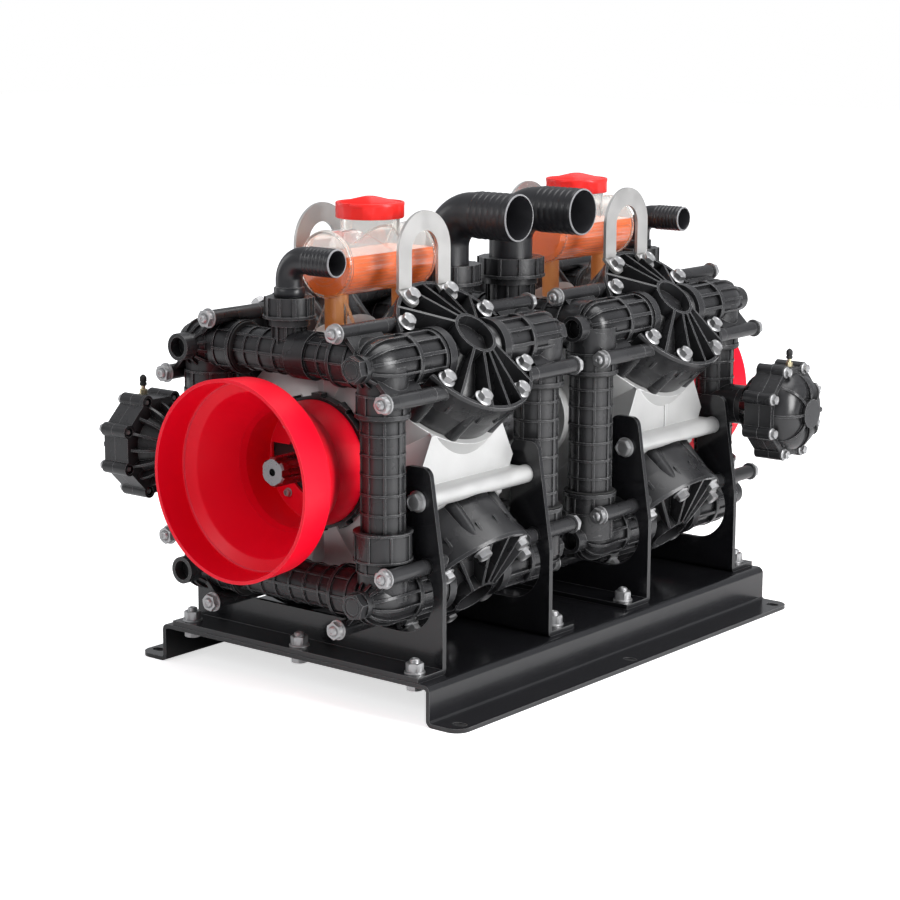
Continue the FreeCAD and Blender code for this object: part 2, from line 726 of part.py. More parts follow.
def pipe(radius, plane, degrees, extras=()):
    """A manifold pipe along X over the shaft, turned about the shaft by degrees."""
    reach = corner_offset - socket_reach
    end = reach + socket_depth - fit_gap
    shapes = [cylinder(radius, (0, 0, -end), 2 * end)]
    for i in range(pipe_rings):
        low = (i - (pipe_rings - 1) / 2) * pipe_ring_pitch - pipe_ring_width / 2
        shapes.append(cylinder(radius + pipe_ring_height, (0, 0, low), pipe_ring_width))
    rib = block((radius - rib_root, -pipe_rib_width / 2, -reach),
                (radius + pipe_rib_height, pipe_rib_width / 2, reach))
    shapes += [about_z(rib, i * 360 / pipe_ribs) for i in range(pipe_ribs)]
    lying = about_y(fused(shapes), 90)
    lying.translate(V(0, -plane, corner_offset))
    return about_y(fused([lying] + list(extras)), degrees)


def outlet_sizes(large):
    """Neck, thread, nut and elbow radii of an outlet, and its heights from the shaft axis."""
    if large:
        return {"neck": 29.5, "collar": 34.7, "thread": 34.0, "nut": 42.5, "tube": 27.3, "barb": 28.7,
                "bore": 23.5, "nut_low": 185.5, "nut_high": 210.0, "arm": 272.4, "bend": 42.0, "mouth": 111.5}
    return {"neck": 19.0, "collar": 23.5, "thread": 22.0, "nut": 29.0, "tube": 15.4, "barb": 16.3,
            "bore": 12.6, "nut_low": 173.5, "nut_high": 197.6, "arm": 240.3, "bend": 24.0, "mouth": 73.0}


def outlet_neck(large):
    """Ribbed neck, collar and thread of an outlet, standing on the axis of its pipe."""
    s = outlet_sizes(large)
    low = s["nut_low"]
    neck = cylinder(s["neck"], (0, 0, corner_offset), low - corner_offset)
    collar = cylinder(s["collar"], (0, 0, low - collar_height), collar_height)
    thread = cylinder(s["thread"], (0, 0, low), s["nut_high"] - hose_flange - nut_lip - low)
    rib = block((s["neck"] - rib_root, -neck_rib / 2, corner_offset), (s["neck"] + neck_rib, neck_rib / 2, low))
    ribs = [about_z(rib, i * 360 / neck_ribs) for i in range(neck_ribs)]
    return fused([neck, collar, thread] + ribs)


def ring_nut(large):
    """The nut that clamps a hose elbow to its neck."""
    s = outlet_sizes(large)
    height = s["nut_high"] - s["nut_low"]
    nut_body = cylinder(s["nut"] - nut_lug, (0, 0, s["nut_low"]), height)
    foot = cylinder(s["nut"] + nut_foot_edge, (0, 0, s["nut_low"]), nut_foot)
    lug = block((0, -nut_lug, s["nut_low"]), (s["nut"], nut_lug, s["nut_high"]))
    nut_body = fused([nut_body, foot] + [about_z(lug, i * 360 / nut_lugs) for i in range(nut_lugs)])
    inside = cylinder(s["thread"] + fit_gap, (0, 0, s["nut_low"]), height - nut_lip)
    hole = cylinder(s["tube"] + soft_gap, (0, 0, s["nut_low"]), height)
    return nut_body.cut([inside, hole])


def hose_elbow(large):
    """A hose elbow over its neck: flange in the nut, bend, and an arm towards +X."""
    s = outlet_sizes(large)
    seat = s["nut_high"] - hose_flange - nut_lip + soft_gap
    turn = s["arm"] - s["bend"]

    def run(radius_low, radius_arm, low, reach):
        upright = cylinder(radius_low, (0, 0, low), turn - low)
        quarter = Part.Face(Part.Wire(Part.makeCircle(radius_low, V(0, 0, turn), V(0, 0, 1))))
        bend = quarter.revolve(V(s["bend"], 0, turn), V(0, 1, 0), 90)
        step = Part.makeCone(radius_low, radius_arm, barb_step, V(s["bend"], 0, s["arm"]), V(1, 0, 0))
        arm_start = s["bend"] + barb_step
        arm = cylinder(radius_arm, (arm_start, 0, s["arm"]), reach - arm_start, (1, 0, 0))
        return fused([upright, bend, step, arm])

    outside = run(s["tube"], s["barb"], seat, s["mouth"])
    flange = cylinder(s["thread"] - 1, (0, 0, seat), hose_flange - 2 * soft_gap)
    shapes = [outside, flange]
    if not large:
        shoulder_foot = (0, 0, s["nut_high"] + soft_gap)
        shapes.append(cylinder(s["tube"] + shoulder_edge, shoulder_foot, shoulder_height))
    inside = run(s["bore"], s["bore"] + 1, seat, s["mouth"])
    return fused(shapes).cut(inside)


def spline(radius_gap, start, length):
    """A six-toothed splined bar along Y."""
    bar = cylinder(spline_root + radius_gap, (0, start, 0), length, (0, 1, 0))
    round_bar = cylinder(spline_outer + radius_gap, (0, start, 0), length, (0, 1, 0))
    teeth = []
    for i in range(spline_teeth):
        half = spline_tooth / 2 + radius_gap
        tooth = block((-half, start, 0), (half, start + length, spline_outer * 2))
        teeth.append(about_y(tooth, i * 360 / spline_teeth).common(round_bar))
    return fused([bar, *teeth])


def crankshaft():
    """Splined ends, two journals and the eccentric, thrown to the upper right cylinder at rest."""
    drive_start = -shaft_drive_end + spline_length
    inner_start = shaft_inner_end - spline_length
    shape = [spline(0, -shaft_drive_end, spline_length), spline(0, inner_start, spline_length)]
    lead = bearing_start - journal_lead
    for start, end in ((drive_start, -lead), (lead, inner_start)):
        shape.append(cylinder(journal_radius, (0, start, 0), end - start, (0, 1, 0)))
    shape.append(cylinder(shaft_neck, (0, -bearing_start, 0), 2 * bearing_start, (0, 1, 0)))
    offset = throw / math.sqrt(2)
    shape.append(cylinder(eccentric_radius, (offset, -eccentric_half, offset), 2 * eccentric_half, (0, 1, 0)))
    shaft = fused(shape)
    tip = (0, -shaft_drive_end, 0)
    centre_hole = cylinder(centre_hole_radius, tip, centre_hole_depth, (0, 1, 0))
    blunt = Part.makeCone(spline_outer - shaft_chamfer, spline_outer, shaft_chamfer, V(*tip), V(0, 1, 0))
    chamfer = cylinder(2 * spline_outer, tip, shaft_chamfer, (0, 1, 0)).cut(blunt)
    return shaft.cut([centre_hole, chamfer])


def eccentric_bearing():
    offset = throw / math.sqrt(2)
    half = eccentric_half - ring_side
    return tube(ring_radius, eccentric_radius + running_gap, (offset, -half, offset), 2 * half, (0, 1, 0))


def piston_pair(inner):
    """Two opposite pistons on one yoke, along Z; the yokes of a pump lie inside each other along Y."""
    reach = ring_radius + 2 * throw + crank_room
    half = ring_radius + throw + crank_room
    low, high = (0, yoke_half) if inner else (yoke_half + crank_room, 2 * yoke_half)
    layers = [(-high, -low), (low, high)]
    shapes = []
    for near, far in layers:
        for z in (-reach - yoke_wall, reach):
            shapes.append(block((-half - yoke_side, near, z), (half + yoke_side, far, z + yoke_wall)))
        for x in (-half - yoke_side, half):
            shapes.append(block((x, near, -reach - yoke_wall), (x + yoke_side, far, reach + yoke_wall)))
    for side in (-1, 1):
        stroke_start = (0, 0, side * piston_bottom)
        crown = cylinder(piston_radius, stroke_start, piston_top - piston_bottom, (0, 0, side))
        if inner:
            root = reach + yoke_wall / 2
            shapes += [crown, cylinder(yoke_half, (0, 0, side * root), piston_bottom - root, (0, 0, side))]
        else:
            foot, top = sorted((side * (reach + yoke_wall / 2), side * (piston_bottom + 1)))
            shapes.append(crown)
            shapes += [block((-post_half, near, foot), (post_half, far, top)) for near, far in layers]
    return fused(shapes)


def outer_cover():
    """The drive-end cover with castellated rim and seal bore."""
    start = -housing_face
    thickness = cover_face - housing_face
    shape = cylinder(cover_radius - cover_rim, (0, start, 0), thickness, (0, -1, 0))
    lug = block((-cover_lug_half, -cover_face, cover_radius - cover_lug_root),
                (cover_lug_half, start, cover_radius * 2))
    lugs = [about_y(lug, i * 360 / cover_lugs) for i in range(cover_lugs)]
    shape = fused([shape, *lugs]).common(cylinder(cover_radius, (0, start, 0), thickness, (0, -1, 0)))
    bore = cylinder(seal_radius + fit_gap, (0, start - seal_back, 0), thickness, (0, -1, 0))
    hole = cylinder(journal_radius + shaft_room, (0, start, 0), thickness, (0, -1, 0))
    return shape.cut([bore, hole])


def inner_cover():
    return tube(inner_cover_radius, journal_radius + shaft_room, (0, housing_face, 0),
                cover_face - housing_face, (0, 1, 0))


def shaft_seal():
    return tube(seal_radius, journal_radius + running_gap, (0, -housing_face - seal_back, 0),
                cover_face - housing_face - seal_sunk, (0, -1, 0))


def main_bearing(side):
    return tube(bearing_radius, journal_radius + running_gap, (0, side * bearing_start, 0),
                bearing_end - bearing_start, (0, side, 0))


def shield():
    """The shaft guard: wide rim band, stepped cone, neck, and a foot ring cut away between its screws."""
    band = shield_rim - shield_band
    w = shield_wall
    rim = shield_rim_radius
    neck = shield_neck_radius
    outline = [(rim, shield_rim), (rim - 3, band), (rim - 9, band - 3), (rim - 13, band - 10),
               (neck + 4, shield_neck_start), (neck, shield_neck_start - 8), (neck, cover_face),
               (shield_foot, cover_face), (shield_foot, cover_face + w), (neck - w, cover_face + w),
               (neck - w, shield_neck_start - 6), (neck + 3 - w, shield_neck_start + 2), (rim - 17, band - 6),
               (rim - 12, band + 2), (rim - 3 - w, band + 4), (rim - w, shield_rim)]
    shape = turned(outline, (0, 0, 0), (0, -1, 0))
    gaps = []
    for degrees in (0, 90, 180, 270):
        gap = block((-shield_gap_half, -cover_face - w, 0),
                    (shield_gap_half, -cover_face, neck - w - shield_pad_edge))
        gaps.append(about_y(gap, degrees))
    return shape.cut(gaps)


def domed(radius, depth, foot):
    """A point for an outline: an arc from the axis at foot out to a radius, depth further on."""
    ball = (radius ** 2 + depth ** 2) / (2 * depth)
    half = radius / 2
    return half, foot + ball - math.sqrt(ball ** 2 - half ** 2), radius, foot + depth


def oil_tank():
    """A clear moulded oil tank: lying barrel, filler neck and two gusseted legs."""
    length = tank_end - tank_start
    w = tank_wall
    e = tank_edge
    barrel = turned([(0, 0), domed(tank_radius, tank_dome, 0), (tank_radius, length - e),
                     (tank_radius - e, length), (0, length)], (tank_x, tank_start, tank_z), (0, 1, 0))
    rim = cylinder(tank_radius + tank_rim, (tank_x, tank_start + tank_rim_place, tank_z), w, (0, 1, 0))
    neck_top = cap_skirt + neck_in_cap
    neck = cylinder(tank_neck_radius, (tank_x, tank_neck_y, tank_z), neck_top - tank_z)
    shapes = [barrel, rim, neck]
    for y, radius in ((tank_front_leg, tank_front_leg_radius), (tank_rear_leg, tank_leg_radius)):
        shapes.append(cylinder(radius, (tank_x, y, case_side), tank_z - tank_radius / 2 - case_side))
    gusset = closed_face([(tank_x - tank_leg_spread, case_side), (tank_x + tank_leg_spread, case_side),
                          (tank_x + tank_leg_spread, case_side + tank_leg_foot),
                          (tank_x + tank_leg_radius, tank_z - tank_radius),
                          (tank_x - tank_leg_radius, tank_z - tank_radius),
                          (tank_x - tank_leg_spread, case_side + tank_leg_foot)])
    gusset = gusset.extrude(V(0, 2 * w, 0))
    gusset.translate(V(0, tank_front_leg - w, 0))
    shapes.append(gusset)
    bore = tank_radius - w
    inside = turned([(0, w), domed(bore, tank_dome, w), (bore, length - e - w), (bore - e, length - w),
                     (0, length - w)], (tank_x, tank_start, tank_z), (0, 1, 0))
    throat = cylinder(tank_neck_radius - w, (tank_x, tank_neck_y, tank_z), neck_top - tank_z)
    return fused(shapes).cut(fused([inside, throat]))


def filler_cap():
    """A ridged screw cap with a raised grip bar."""
    base = (tank_x, tank_neck_y, cap_skirt)
    skirt = prism(cap_sides, cap_radius, base, cap_height)
    cap_top = cap_skirt + cap_height
    half = cap_radius * grip_share
    bar = closed_face([(-half, cap_top - grip_foot), (half, cap_top - grip_foot), (half, cap_top + grip_foot),
                       (0, cap_top + grip_height, -half, cap_top + grip_foot)])
    bar = bar.extrude(V(0, 2 * grip_half, 0))
    bar.translate(V(0, -grip_half, 0))
    bar = about_z(bar, grip_turn)
    bar.translate(V(tank_x, tank_neck_y, 0))
    inside = cylinder(tank_neck_radius + soft_gap, base, neck_in_cap + soft_gap)
    return fused([skirt, bar]).cut(inside)


def accumulator_ring(low, high):
    """An eight-sided flange with a bolt lug at each corner, along +Z."""
    plate = prism(accumulator_bolts, flange_corner, (0, 0, low), high - low)
    shapes = [about_z(plate, 180 / accumulator_bolts)]
    for x, y in accumulator_bolt_places():
        shapes.append(cylinder(lug_radius, (x, y, low), high - low))
    return fused(shapes)


def accumulator_bolt_places():
    for i in range(accumulator_bolts):
        angle = 2 * math.pi * (i + 0.5) / accumulator_bolts
        yield accumulator_bolt_circle * math.cos(angle), accumulator_bolt_circle * math.sin(angle)


def accumulator():
    """The pressure accumulator along +Z: body, rubber disc, domed cover, bolts and air valve."""
    bladder_radius = accumulator_radius - bladder_margin
    pocket_floor = accumulator_joint - bladder_thickness
    port_radius = delivery_pipe_radius + port_wall
    cone_foot = accumulator_port + accumulator_cone
    rim = accumulator_radius - accumulator_neck
    cone = turned([(0, accumulator_port), (port_radius, accumulator_port), (port_radius, cone_foot),
                   (rim - accumulator_hollow, accumulator_flange), (0, accumulator_flange)], (0, 0, 0))
    fin_middle = ((port_radius + rim) / 2 + accumulator_fin_bulge,
                  (cone_foot + accumulator_flange) / 2 - accumulator_fin_bulge)
    fin = closed_face([(0, cone_foot), (port_radius, cone_foot), fin_middle + (rim, accumulator_flange),
                       (0, accumulator_flange)])
    fin = fin.extrude(V(0, accumulator_fin_width, 0))
    fin.translate(V(0, -accumulator_fin_width / 2, 0))
    fins = [about_z(fin, i * 360 / accumulator_fins) for i in range(accumulator_fins)]
    pocket = cylinder(bladder_radius + soft_gap, (0, 0, pocket_floor), bladder_thickness)
    body = fused([cone, accumulator_ring(accumulator_flange, accumulator_joint), *fins]).cut(pocket)
    foot = accumulator_radius - dome_margin
    side = accumulator_radius - dome_top
    crown = accumulator_reach - dome_crown_drop
    rib_top = accumulator_reach - dome_rib_drop
    dome = turned([(0, accumulator_cover), (foot, accumulator_cover),
                   (side, accumulator_cover + dome_start, dome_crown, crown), (dome_crown, accumulator_reach),
                   (0, accumulator_reach)], (0, 0, 0))
    rib = closed_face([(0, accumulator_cover), (foot, accumulator_cover),
                       (side, accumulator_cover + dome_start + dome_rib, dome_crown, rib_top), (0, rib_top)])
    rib = rib.extrude(V(0, dome_rib, 0))
    rib.translate(V(0, -dome_rib / 2, 0))
    ribs = [about_z(rib, i * 360 / accumulator_bolts) for i in range(accumulator_bolts)]
    boss = cylinder(valve_boss_radius, (0, 0, valve_place()), valve_boss_top, (1, 0, 0))
    boss = boss.cut(cylinder(bladder_radius, (0, 0, accumulator_joint), accumulator_reach))
    cover = fused([dome, accumulator_ring(accumulator_joint, accumulator_cover), boss, *ribs])
    bladder = cylinder(bladder_radius, (0, 0, pocket_floor + fit_gap), bladder_thickness - fit_gap)
    depth = accumulator_cover - accumulator_flange
    shanks = []
    screws = []
    for x, y in accumulator_bolt_places():
        shanks.append(core(accumulator_bolt_radius + fit_gap, (x, y, accumulator_flange), depth))
        shanks.append(cylinder(accumulator_pit, (x, y, accumulator_flange), accumulator_pit_depth))
        screws.append(bolt(accumulator_bolt_corner, accumulator_bolt_head, accumulator_bolt_radius,
                           depth - bolt_hole_depth, (x, y, accumulator_cover), (0, 0, 1)))
    return body.cut(shanks), cover.cut(shanks), bladder, screws


def plug_right(turn, manifold):
    """Plugs close the right-hand hubs of a delivery manifold and the left-hand ones of a suction manifold."""
    return (turn < 180) == (manifold == "delivery")


def air_valve():
    """The charging valve of the left accumulator, standing up from its cover."""
    return turned([(0, 0), (air_foot, 0), (air_foot, air_foot), (air_stem, air_foot), (air_stem, air_cap_low),
                   (air_cap, air_cap_low), (air_cap, air_cap_high), (air_tip, air_height), (0, air_height)],
                  (-valve_place(), -delivery_plane, valve_boss_top))


def valve_place():
    """The charging valve's distance out from the pump centre."""
    return (accumulator_joint + accumulator_cover) / 2


def build():
    add("base_plate", base_plate())
    foot_bolt_length = base_sheet + bracket_sheet + foot_nut_height + foot_bolt_tip
    for x in (-foot_bolt_x, 0, foot_bolt_x):
        for y in foot_bolt_rows():
            seat = (x, y, base_height - base_sheet)
            nut_seat = (x, y, base_height + bracket_sheet)
            add("base_bolts_and_nuts",
                bolt(frame_bolt_corner, foot_bolt_head, foot_bolt_radius, foot_bolt_length, seat, (0, 0, -1)),
                nut(frame_bolt_corner, foot_nut_height, foot_bolt_radius, nut_seat, (0, 0, 1)))
    drive_bracket = bracket()
    drive_bracket.translate(V(0, 0, -shaft_height))
    case = crankcase()
    lower_head = head()
    upper_head = head_under_eye()
    bolts = head_bolts()
    eye = lifting_eye()
    quarter_turns = (0, 90, 180, 270)
    manifolds = {}
    for name, plane, radius in (("delivery", delivery_plane, delivery_pipe_radius),
                                ("suction", suction_plane, suction_pipe_radius)):
        plugged = elbow(plane, radius, False)
        opened = elbow(plane, radius, True)
        manifolds[name] = [about_y(plugged if plug_right(turn, name) else opened, turn)
                           for turn in quarter_turns]
    union = tube(union_radius, delivery_pipe_radius + pipe_ring_height + fit_gap,
                 (corner_offset, -delivery_plane, union_low), union_high - union_low)
    collared = elbow(delivery_plane, delivery_pipe_radius, False, [about_y(union, -90)])
    manifolds["delivery"][1] = about_y(collared, 90)
    plug_seat = (corner_offset, -hub_face + plug_height, corner_offset)
    plug = prism(6, plug_flats / math.sqrt(3), plug_seat, plug_height, (0, -1, 0))
    sleeve = tube(piston_radius + sleeve_wall, piston_radius + running_gap, (0, 0, sleeve_start),
                  sleeve_end - sleeve_start)
    diaphragm = cylinder(diaphragm_radius, (0, 0, case_top - diaphragm_thickness - fit_gap),
                         diaphragm_thickness)
    cage = core(cage_radius, (corner_offset, -chest_face - cage_half + fit_gap, corner_offset),
                2 * (cage_half - fit_gap), (0, 1, 0))
    ring_start = (joint_ring_x, -delivery_plane, corner_offset)
    joint_ring = cylinder(delivery_pipe_radius + joint_ring_height, ring_start, joint_ring_length, (1, 0, 0))
    port = cylinder(delivery_pipe_radius + port_wall, (0, -delivery_plane, corner_offset),
                    accumulator_port - corner_offset)
    small_neck = outlet_neck(False)
    small_neck.translate(V(-outlet_x, -delivery_plane, 0))
    large_neck = outlet_neck(True)
    large_neck.translate(V(outlet_x, -suction_plane, 0))
    delivery_pipes = [pipe(delivery_pipe_radius, delivery_plane, 0, [joint_ring, small_neck]),
                      pipe(delivery_pipe_radius, delivery_plane, 90),
                      pipe(delivery_pipe_radius, delivery_plane, 180),
                      pipe(delivery_pipe_radius, delivery_plane, 270, [port])]
    suction_pipes = [pipe(suction_pipe_radius, suction_plane, turn, [large_neck] if turn == 0 else ())
                     for turn in quarter_turns]
    body, cover, bladder, screws = accumulator()

    def leftward(shape):
        """Turns an accumulator piece from +Z to the delivery pipe on the left."""
        copy = about_y(shape, -90)
        copy.translate(V(0, -delivery_plane, 0))
        return copy

    for pump in ("front", "rear"):
        def put(node, *shapes):
            for shape in shapes:
                add(node, set_down(shape, pump))

        put(pump + "_pump_brackets", drive_bracket, about_z(drive_bracket, 180))
        for x in (-ear_bolt_x, ear_bolt_x):
            for side in (-1, 1):
                seat = (x, side * (bracket_web + bracket_sheet), ear_bolt_z)
                ear_bolt = bolt(frame_bolt_corner, ear_bolt_head, ear_bolt_radius, ear_bolt_length, seat,
                                (0, side, 0))
                put("bracket_ear_bolts", ear_bolt)
        put(pump + "_crankcase", case)
        put("outer_bearing_covers", outer_cover())
        put("inner_bearing_covers", inner_cover())
        put("main_bearings", main_bearing(-1), main_bearing(1))
        put("shaft_seals", shaft_seal())
        for degrees in (45, 135, 225, 315):
            height = "upper" if degrees in (45, 315) else "lower"
            to_right = (degrees < 180) == (pump == "front")
            name = "%s_%s_%s_head" % (pump, height, "right" if to_right else "left")
            shape = about_y(upper_head if height == "upper" else lower_head, degrees)
            if degrees == 315:
                shape = about_z(about_y(upper_head, 45), 180)
            put(name, shape)
            put("head_bolts", *[about_y(b, degrees) for b in bolts])
            put("cylinder_sleeves", about_y(sleeve, degrees))
            put("diaphragms", about_y(diaphragm, degrees))
        put("lifting_eyes", eye, about_z(eye, 180))
        put(pump + "_delivery_elbows", *manifolds["delivery"])
        put(pump + "_suction_elbows", *[about_z(s, 180) for s in manifolds["suction"]])
        put(pump + "_delivery_pipes", *delivery_pipes)
        put(pump + "_suction_pipes", *[about_z(s, 180) for s in suction_pipes])
        for turn in quarter_turns:
            for name, end in (("delivery", 0), ("suction", 180)):
                if plug_right(turn, name):
                    put("manifold_plugs", about_z(about_y(plug, turn), end))
                put("valve_cartridges", about_z(about_y(cage, turn), end))
        for x, z in rod_places():
            for side in (-1, 1):
                seat = (x, side * rod_seat, z)
                put("tie_rods", core(rod_radius, (x, side * rod_end, z), rod_tip - rod_end, (0, side, 0)))
                put("tie_rod_nuts", nut(rod_nut_corner, rod_nut_height, rod_radius, seat, (0, side, 0)))
        put(pump + "_crankshaft", crankshaft())
        put("eccentric_bearings", eccentric_bearing())
        first = piston_pair(True)
        first.translate(V(0, 0, throw))
        put(pump + "_piston_pair_a", about_y(first, 45))
        put(pump + "_piston_pair_b", about_y(piston_pair(False), 135))
        put(pump + "_shield", shield())
        put(pump + "_oil_tank", oil_tank())
        put(pump + "_filler_cap", filler_cap())
        put("accumulator_bodies", leftward(body))
        put("accumulator_covers", leftward(cover))
        put("accumulator_bladders", leftward(bladder))
        put("accumulator_bolts", *[leftward(s) for s in screws])
        put("air_valves", air_valve())
    for pump, side in (("front", -1), ("rear", 1)):
        for name, large, plane in (("delivery", False, delivery_plane), ("suction", True, -suction_plane)):
            place = V(side * outlet_x, side * (pump_offset + plane), shaft_height)
            swivel = hose_elbow(large)
            swivel.translate(place)
            add("%s_%s_hose_elbow" % (pump, name), swivel)
            clamp = ring_nut(large)
            clamp.translate(place)
            add("ring_nuts", clamp)
    blank = cylinder(coupling_radius, (0, -coupling_half, shaft_height), 2 * coupling_half, (0, 1, 0))
    inside = spline(running_gap, -coupling_half, 2 * coupling_half)
    inside.translate(V(0, 0, shaft_height))
    add("shaft_coupling", blank.cut(inside))


build()
for node, solids in pieces.items():
    shape = solids[0] if len(solids) == 1 else Part.makeCompound(solids)
    shape.exportStep("parts/%s.step" % node)
    print("%-28s %3d solids" % (node, len(solids)))
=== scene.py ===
# %% [markdown]
# # Two star pumps on one base
# The model is a pair of four-cylinder piston diaphragm pumps. The exact solids come in as a fixed frame, in
# metres. Everything in this lesson is laid over that frame: finishes for the solids first, then the small
# things that a solid model leaves out, such as washers, threads, hose rings and oil.

# %% Load the frame
import json
import math
import bmesh
import bpy
from mathutils import Matrix, Vector


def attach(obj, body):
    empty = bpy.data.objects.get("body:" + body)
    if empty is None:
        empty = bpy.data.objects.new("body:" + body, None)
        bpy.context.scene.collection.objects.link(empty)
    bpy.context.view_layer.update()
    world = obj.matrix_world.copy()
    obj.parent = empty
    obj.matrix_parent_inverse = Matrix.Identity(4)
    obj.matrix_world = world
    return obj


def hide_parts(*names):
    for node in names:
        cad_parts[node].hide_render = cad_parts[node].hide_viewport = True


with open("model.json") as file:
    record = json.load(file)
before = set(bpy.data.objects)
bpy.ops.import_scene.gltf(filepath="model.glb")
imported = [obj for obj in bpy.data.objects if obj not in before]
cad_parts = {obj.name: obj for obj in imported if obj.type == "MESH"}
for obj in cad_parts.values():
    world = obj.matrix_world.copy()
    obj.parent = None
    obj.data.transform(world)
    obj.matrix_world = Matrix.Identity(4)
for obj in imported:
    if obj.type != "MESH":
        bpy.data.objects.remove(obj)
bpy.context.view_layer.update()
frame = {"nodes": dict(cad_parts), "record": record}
nodes = frame["nodes"]
mm = 0.001

# %% [markdown]
# ## Camera
# The photograph looks down a little on the drive end and the right side. The camera could be aimed by eye,
# but the head bolts, the base, the shield and the pipes fix where it stood, so its place and its direction
# are written as vectors and turned into a rotation matrix.

# %% Place the camera
eye = Vector((1.7899, -2.2925, 0.8107))
azimuth = math.radians(38.68)
elevation = math.radians(11.19)
roll = math.radians(0.20)
backward = Vector((math.sin(azimuth) * math.cos(elevation), -math.cos(azimuth) * math.cos(elevation),
                   math.sin(elevation)))
level = Vector((math.cos(azimuth), math.sin(azimuth), 0))
upright = level.cross(-backward)
across = level * math.cos(roll) + upright * math.sin(roll)
upward = upright * math.cos(roll) - level * math.sin(roll)

camera_data = bpy.data.cameras.new("camera")
camera_data.sensor_width = 36.0
camera_data.lens = 93.69
camera_data.clip_end = 50.0
camera = bpy.data.objects.new("camera", camera_data)
camera.matrix_world = Matrix.Translation(eye) @ Matrix((across, upward, backward)).transposed().to_4x4()
bpy.context.collection.objects.link(camera)
bpy.context.scene.camera = camera
print("camera at", [round(c, 3) for c in eye])

# %% [markdown]
# ## Links that come back
# Every finish and the room itself are shaders made of nodes. A few small groups of nodes come back in nearly
# all of them: a range stretched over another, a sum, a speckle, one colour laid over another. Each is written
# once here, and gives the socket that holds its result.

# %% Helpers for shaders


def stretched(tree, value, source, target):
    """Stretches one range of a value over another; a range is (low, high)."""
    node = tree.nodes.new("ShaderNodeMapRange")
    for label, number in zip(("From Min", "From Max", "To Min", "To Max"), (*source, *target)):
        node.inputs[label].default_value = number
    tree.links.new(value, node.inputs["Value"])
    return node.outputs["Result"]


def maths(tree, operation, first, second):
    """A sum on two sockets; the second may be a plain number."""
    node = tree.nodes.new("ShaderNodeMath")
    node.operation = operation
    tree.links.new(first, node.inputs[0])
    if isinstance(second, float):
        node.inputs[1].default_value = second
    else:
        tree.links.new(second, node.inputs[1])
    return node.outputs[0]


def speckle(tree, scale, detail):
    """Noise in real metres: the scale is about the number of specks along a metre."""
    place = tree.nodes.new("ShaderNodeTexCoord")
    noise = tree.nodes.new("ShaderNodeTexNoise")
    noise.inputs["Scale"].default_value = scale
    noise.inputs["Detail"].default_value = detail
    tree.links.new(place.outputs["Object"], noise.inputs["Vector"])
    return noise.outputs["Fac"]


def laid_over(tree, base, colour, share):
    """Lays a colour over a base by a share; the base is a colour too, or a socket."""
    node = tree.nodes.new("ShaderNodeMix")
    node.data_type = "RGBA"
    node.inputs["B"].default_value = (*colour, 1)
    if isinstance(base, tuple):
        node.inputs["A"].default_value = (*base, 1)
    else:
        tree.links.new(base, node.inputs["A"])
    tree.links.new(share, node.inputs["Factor"])
    return node.outputs["Result"]


print("four helpers for shaders")

# %% [markdown]
# ## Room and light
# The pump set stands on white studio paper. A strong lamp could bleach the paper, but it would bleach the
# cast metal as well. So the white is shown to the camera and to rays that pass through the clear tanks, told
# apart by the Light Path node. Glossy surfaces get only a tenth of it, and all else is lit by a weak, cool
# room light.

# %% World
scene = bpy.context.scene
scene.view_settings.view_transform = "Standard"
paper_in_gloss = 0.1    # share of the white paper that shows in glossy surfaces
room_strength = 0.36

world = bpy.data.worlds.new("studio")
scene.world = world
world.use_nodes = True
tree = world.node_tree
tree.nodes.clear()
room_light = tree.nodes.new("ShaderNodeBackground")
room_light.inputs["Color"].default_value = (0.93, 0.95, 1.0, 1)
room_light.inputs["Strength"].default_value = room_strength
white_paper = tree.nodes.new("ShaderNodeBackground")
white_paper.inputs["Color"].default_value = (1, 1, 1, 1)
white_paper.inputs["Strength"].default_value = 1.0
paths = tree.nodes.new("ShaderNodeLightPath")
mirrored = maths(tree, "MULTIPLY", paths.outputs["Is Glossy Ray"], paper_in_gloss)
unseen = maths(tree, "MAXIMUM", mirrored, paths.outputs["Is Transmission Ray"])
white_share = maths(tree, "MAXIMUM", paths.outputs["Is Camera Ray"], unseen)
mixed = tree.nodes.new("ShaderNodeMixShader")
world_out = tree.nodes.new("ShaderNodeOutputWorld")
tree.links.new(white_share, mixed.inputs["Fac"])
tree.links.new(room_light.outputs[0], mixed.inputs[1])
tree.links.new(white_paper.outputs[0], mixed.inputs[2])
tree.links.new(mixed.outputs[0], world_out.inputs["Surface"])
print("room light:", room_strength, "paper in gloss:", paper_in_gloss)

# %% [markdown]
# The floor could be left out over a white world, but then nothing would hold the shadow. It is a plain sheet
# that glows for the camera only, and more where the lamps no longer reach it, so that its far end melts into
# the white behind.

# %% Floor
floor_glow = 0.66
floor_half = 12.0
lamplit = (0.7, 2.0)    # metres from the middle over which the light of the lamps fades


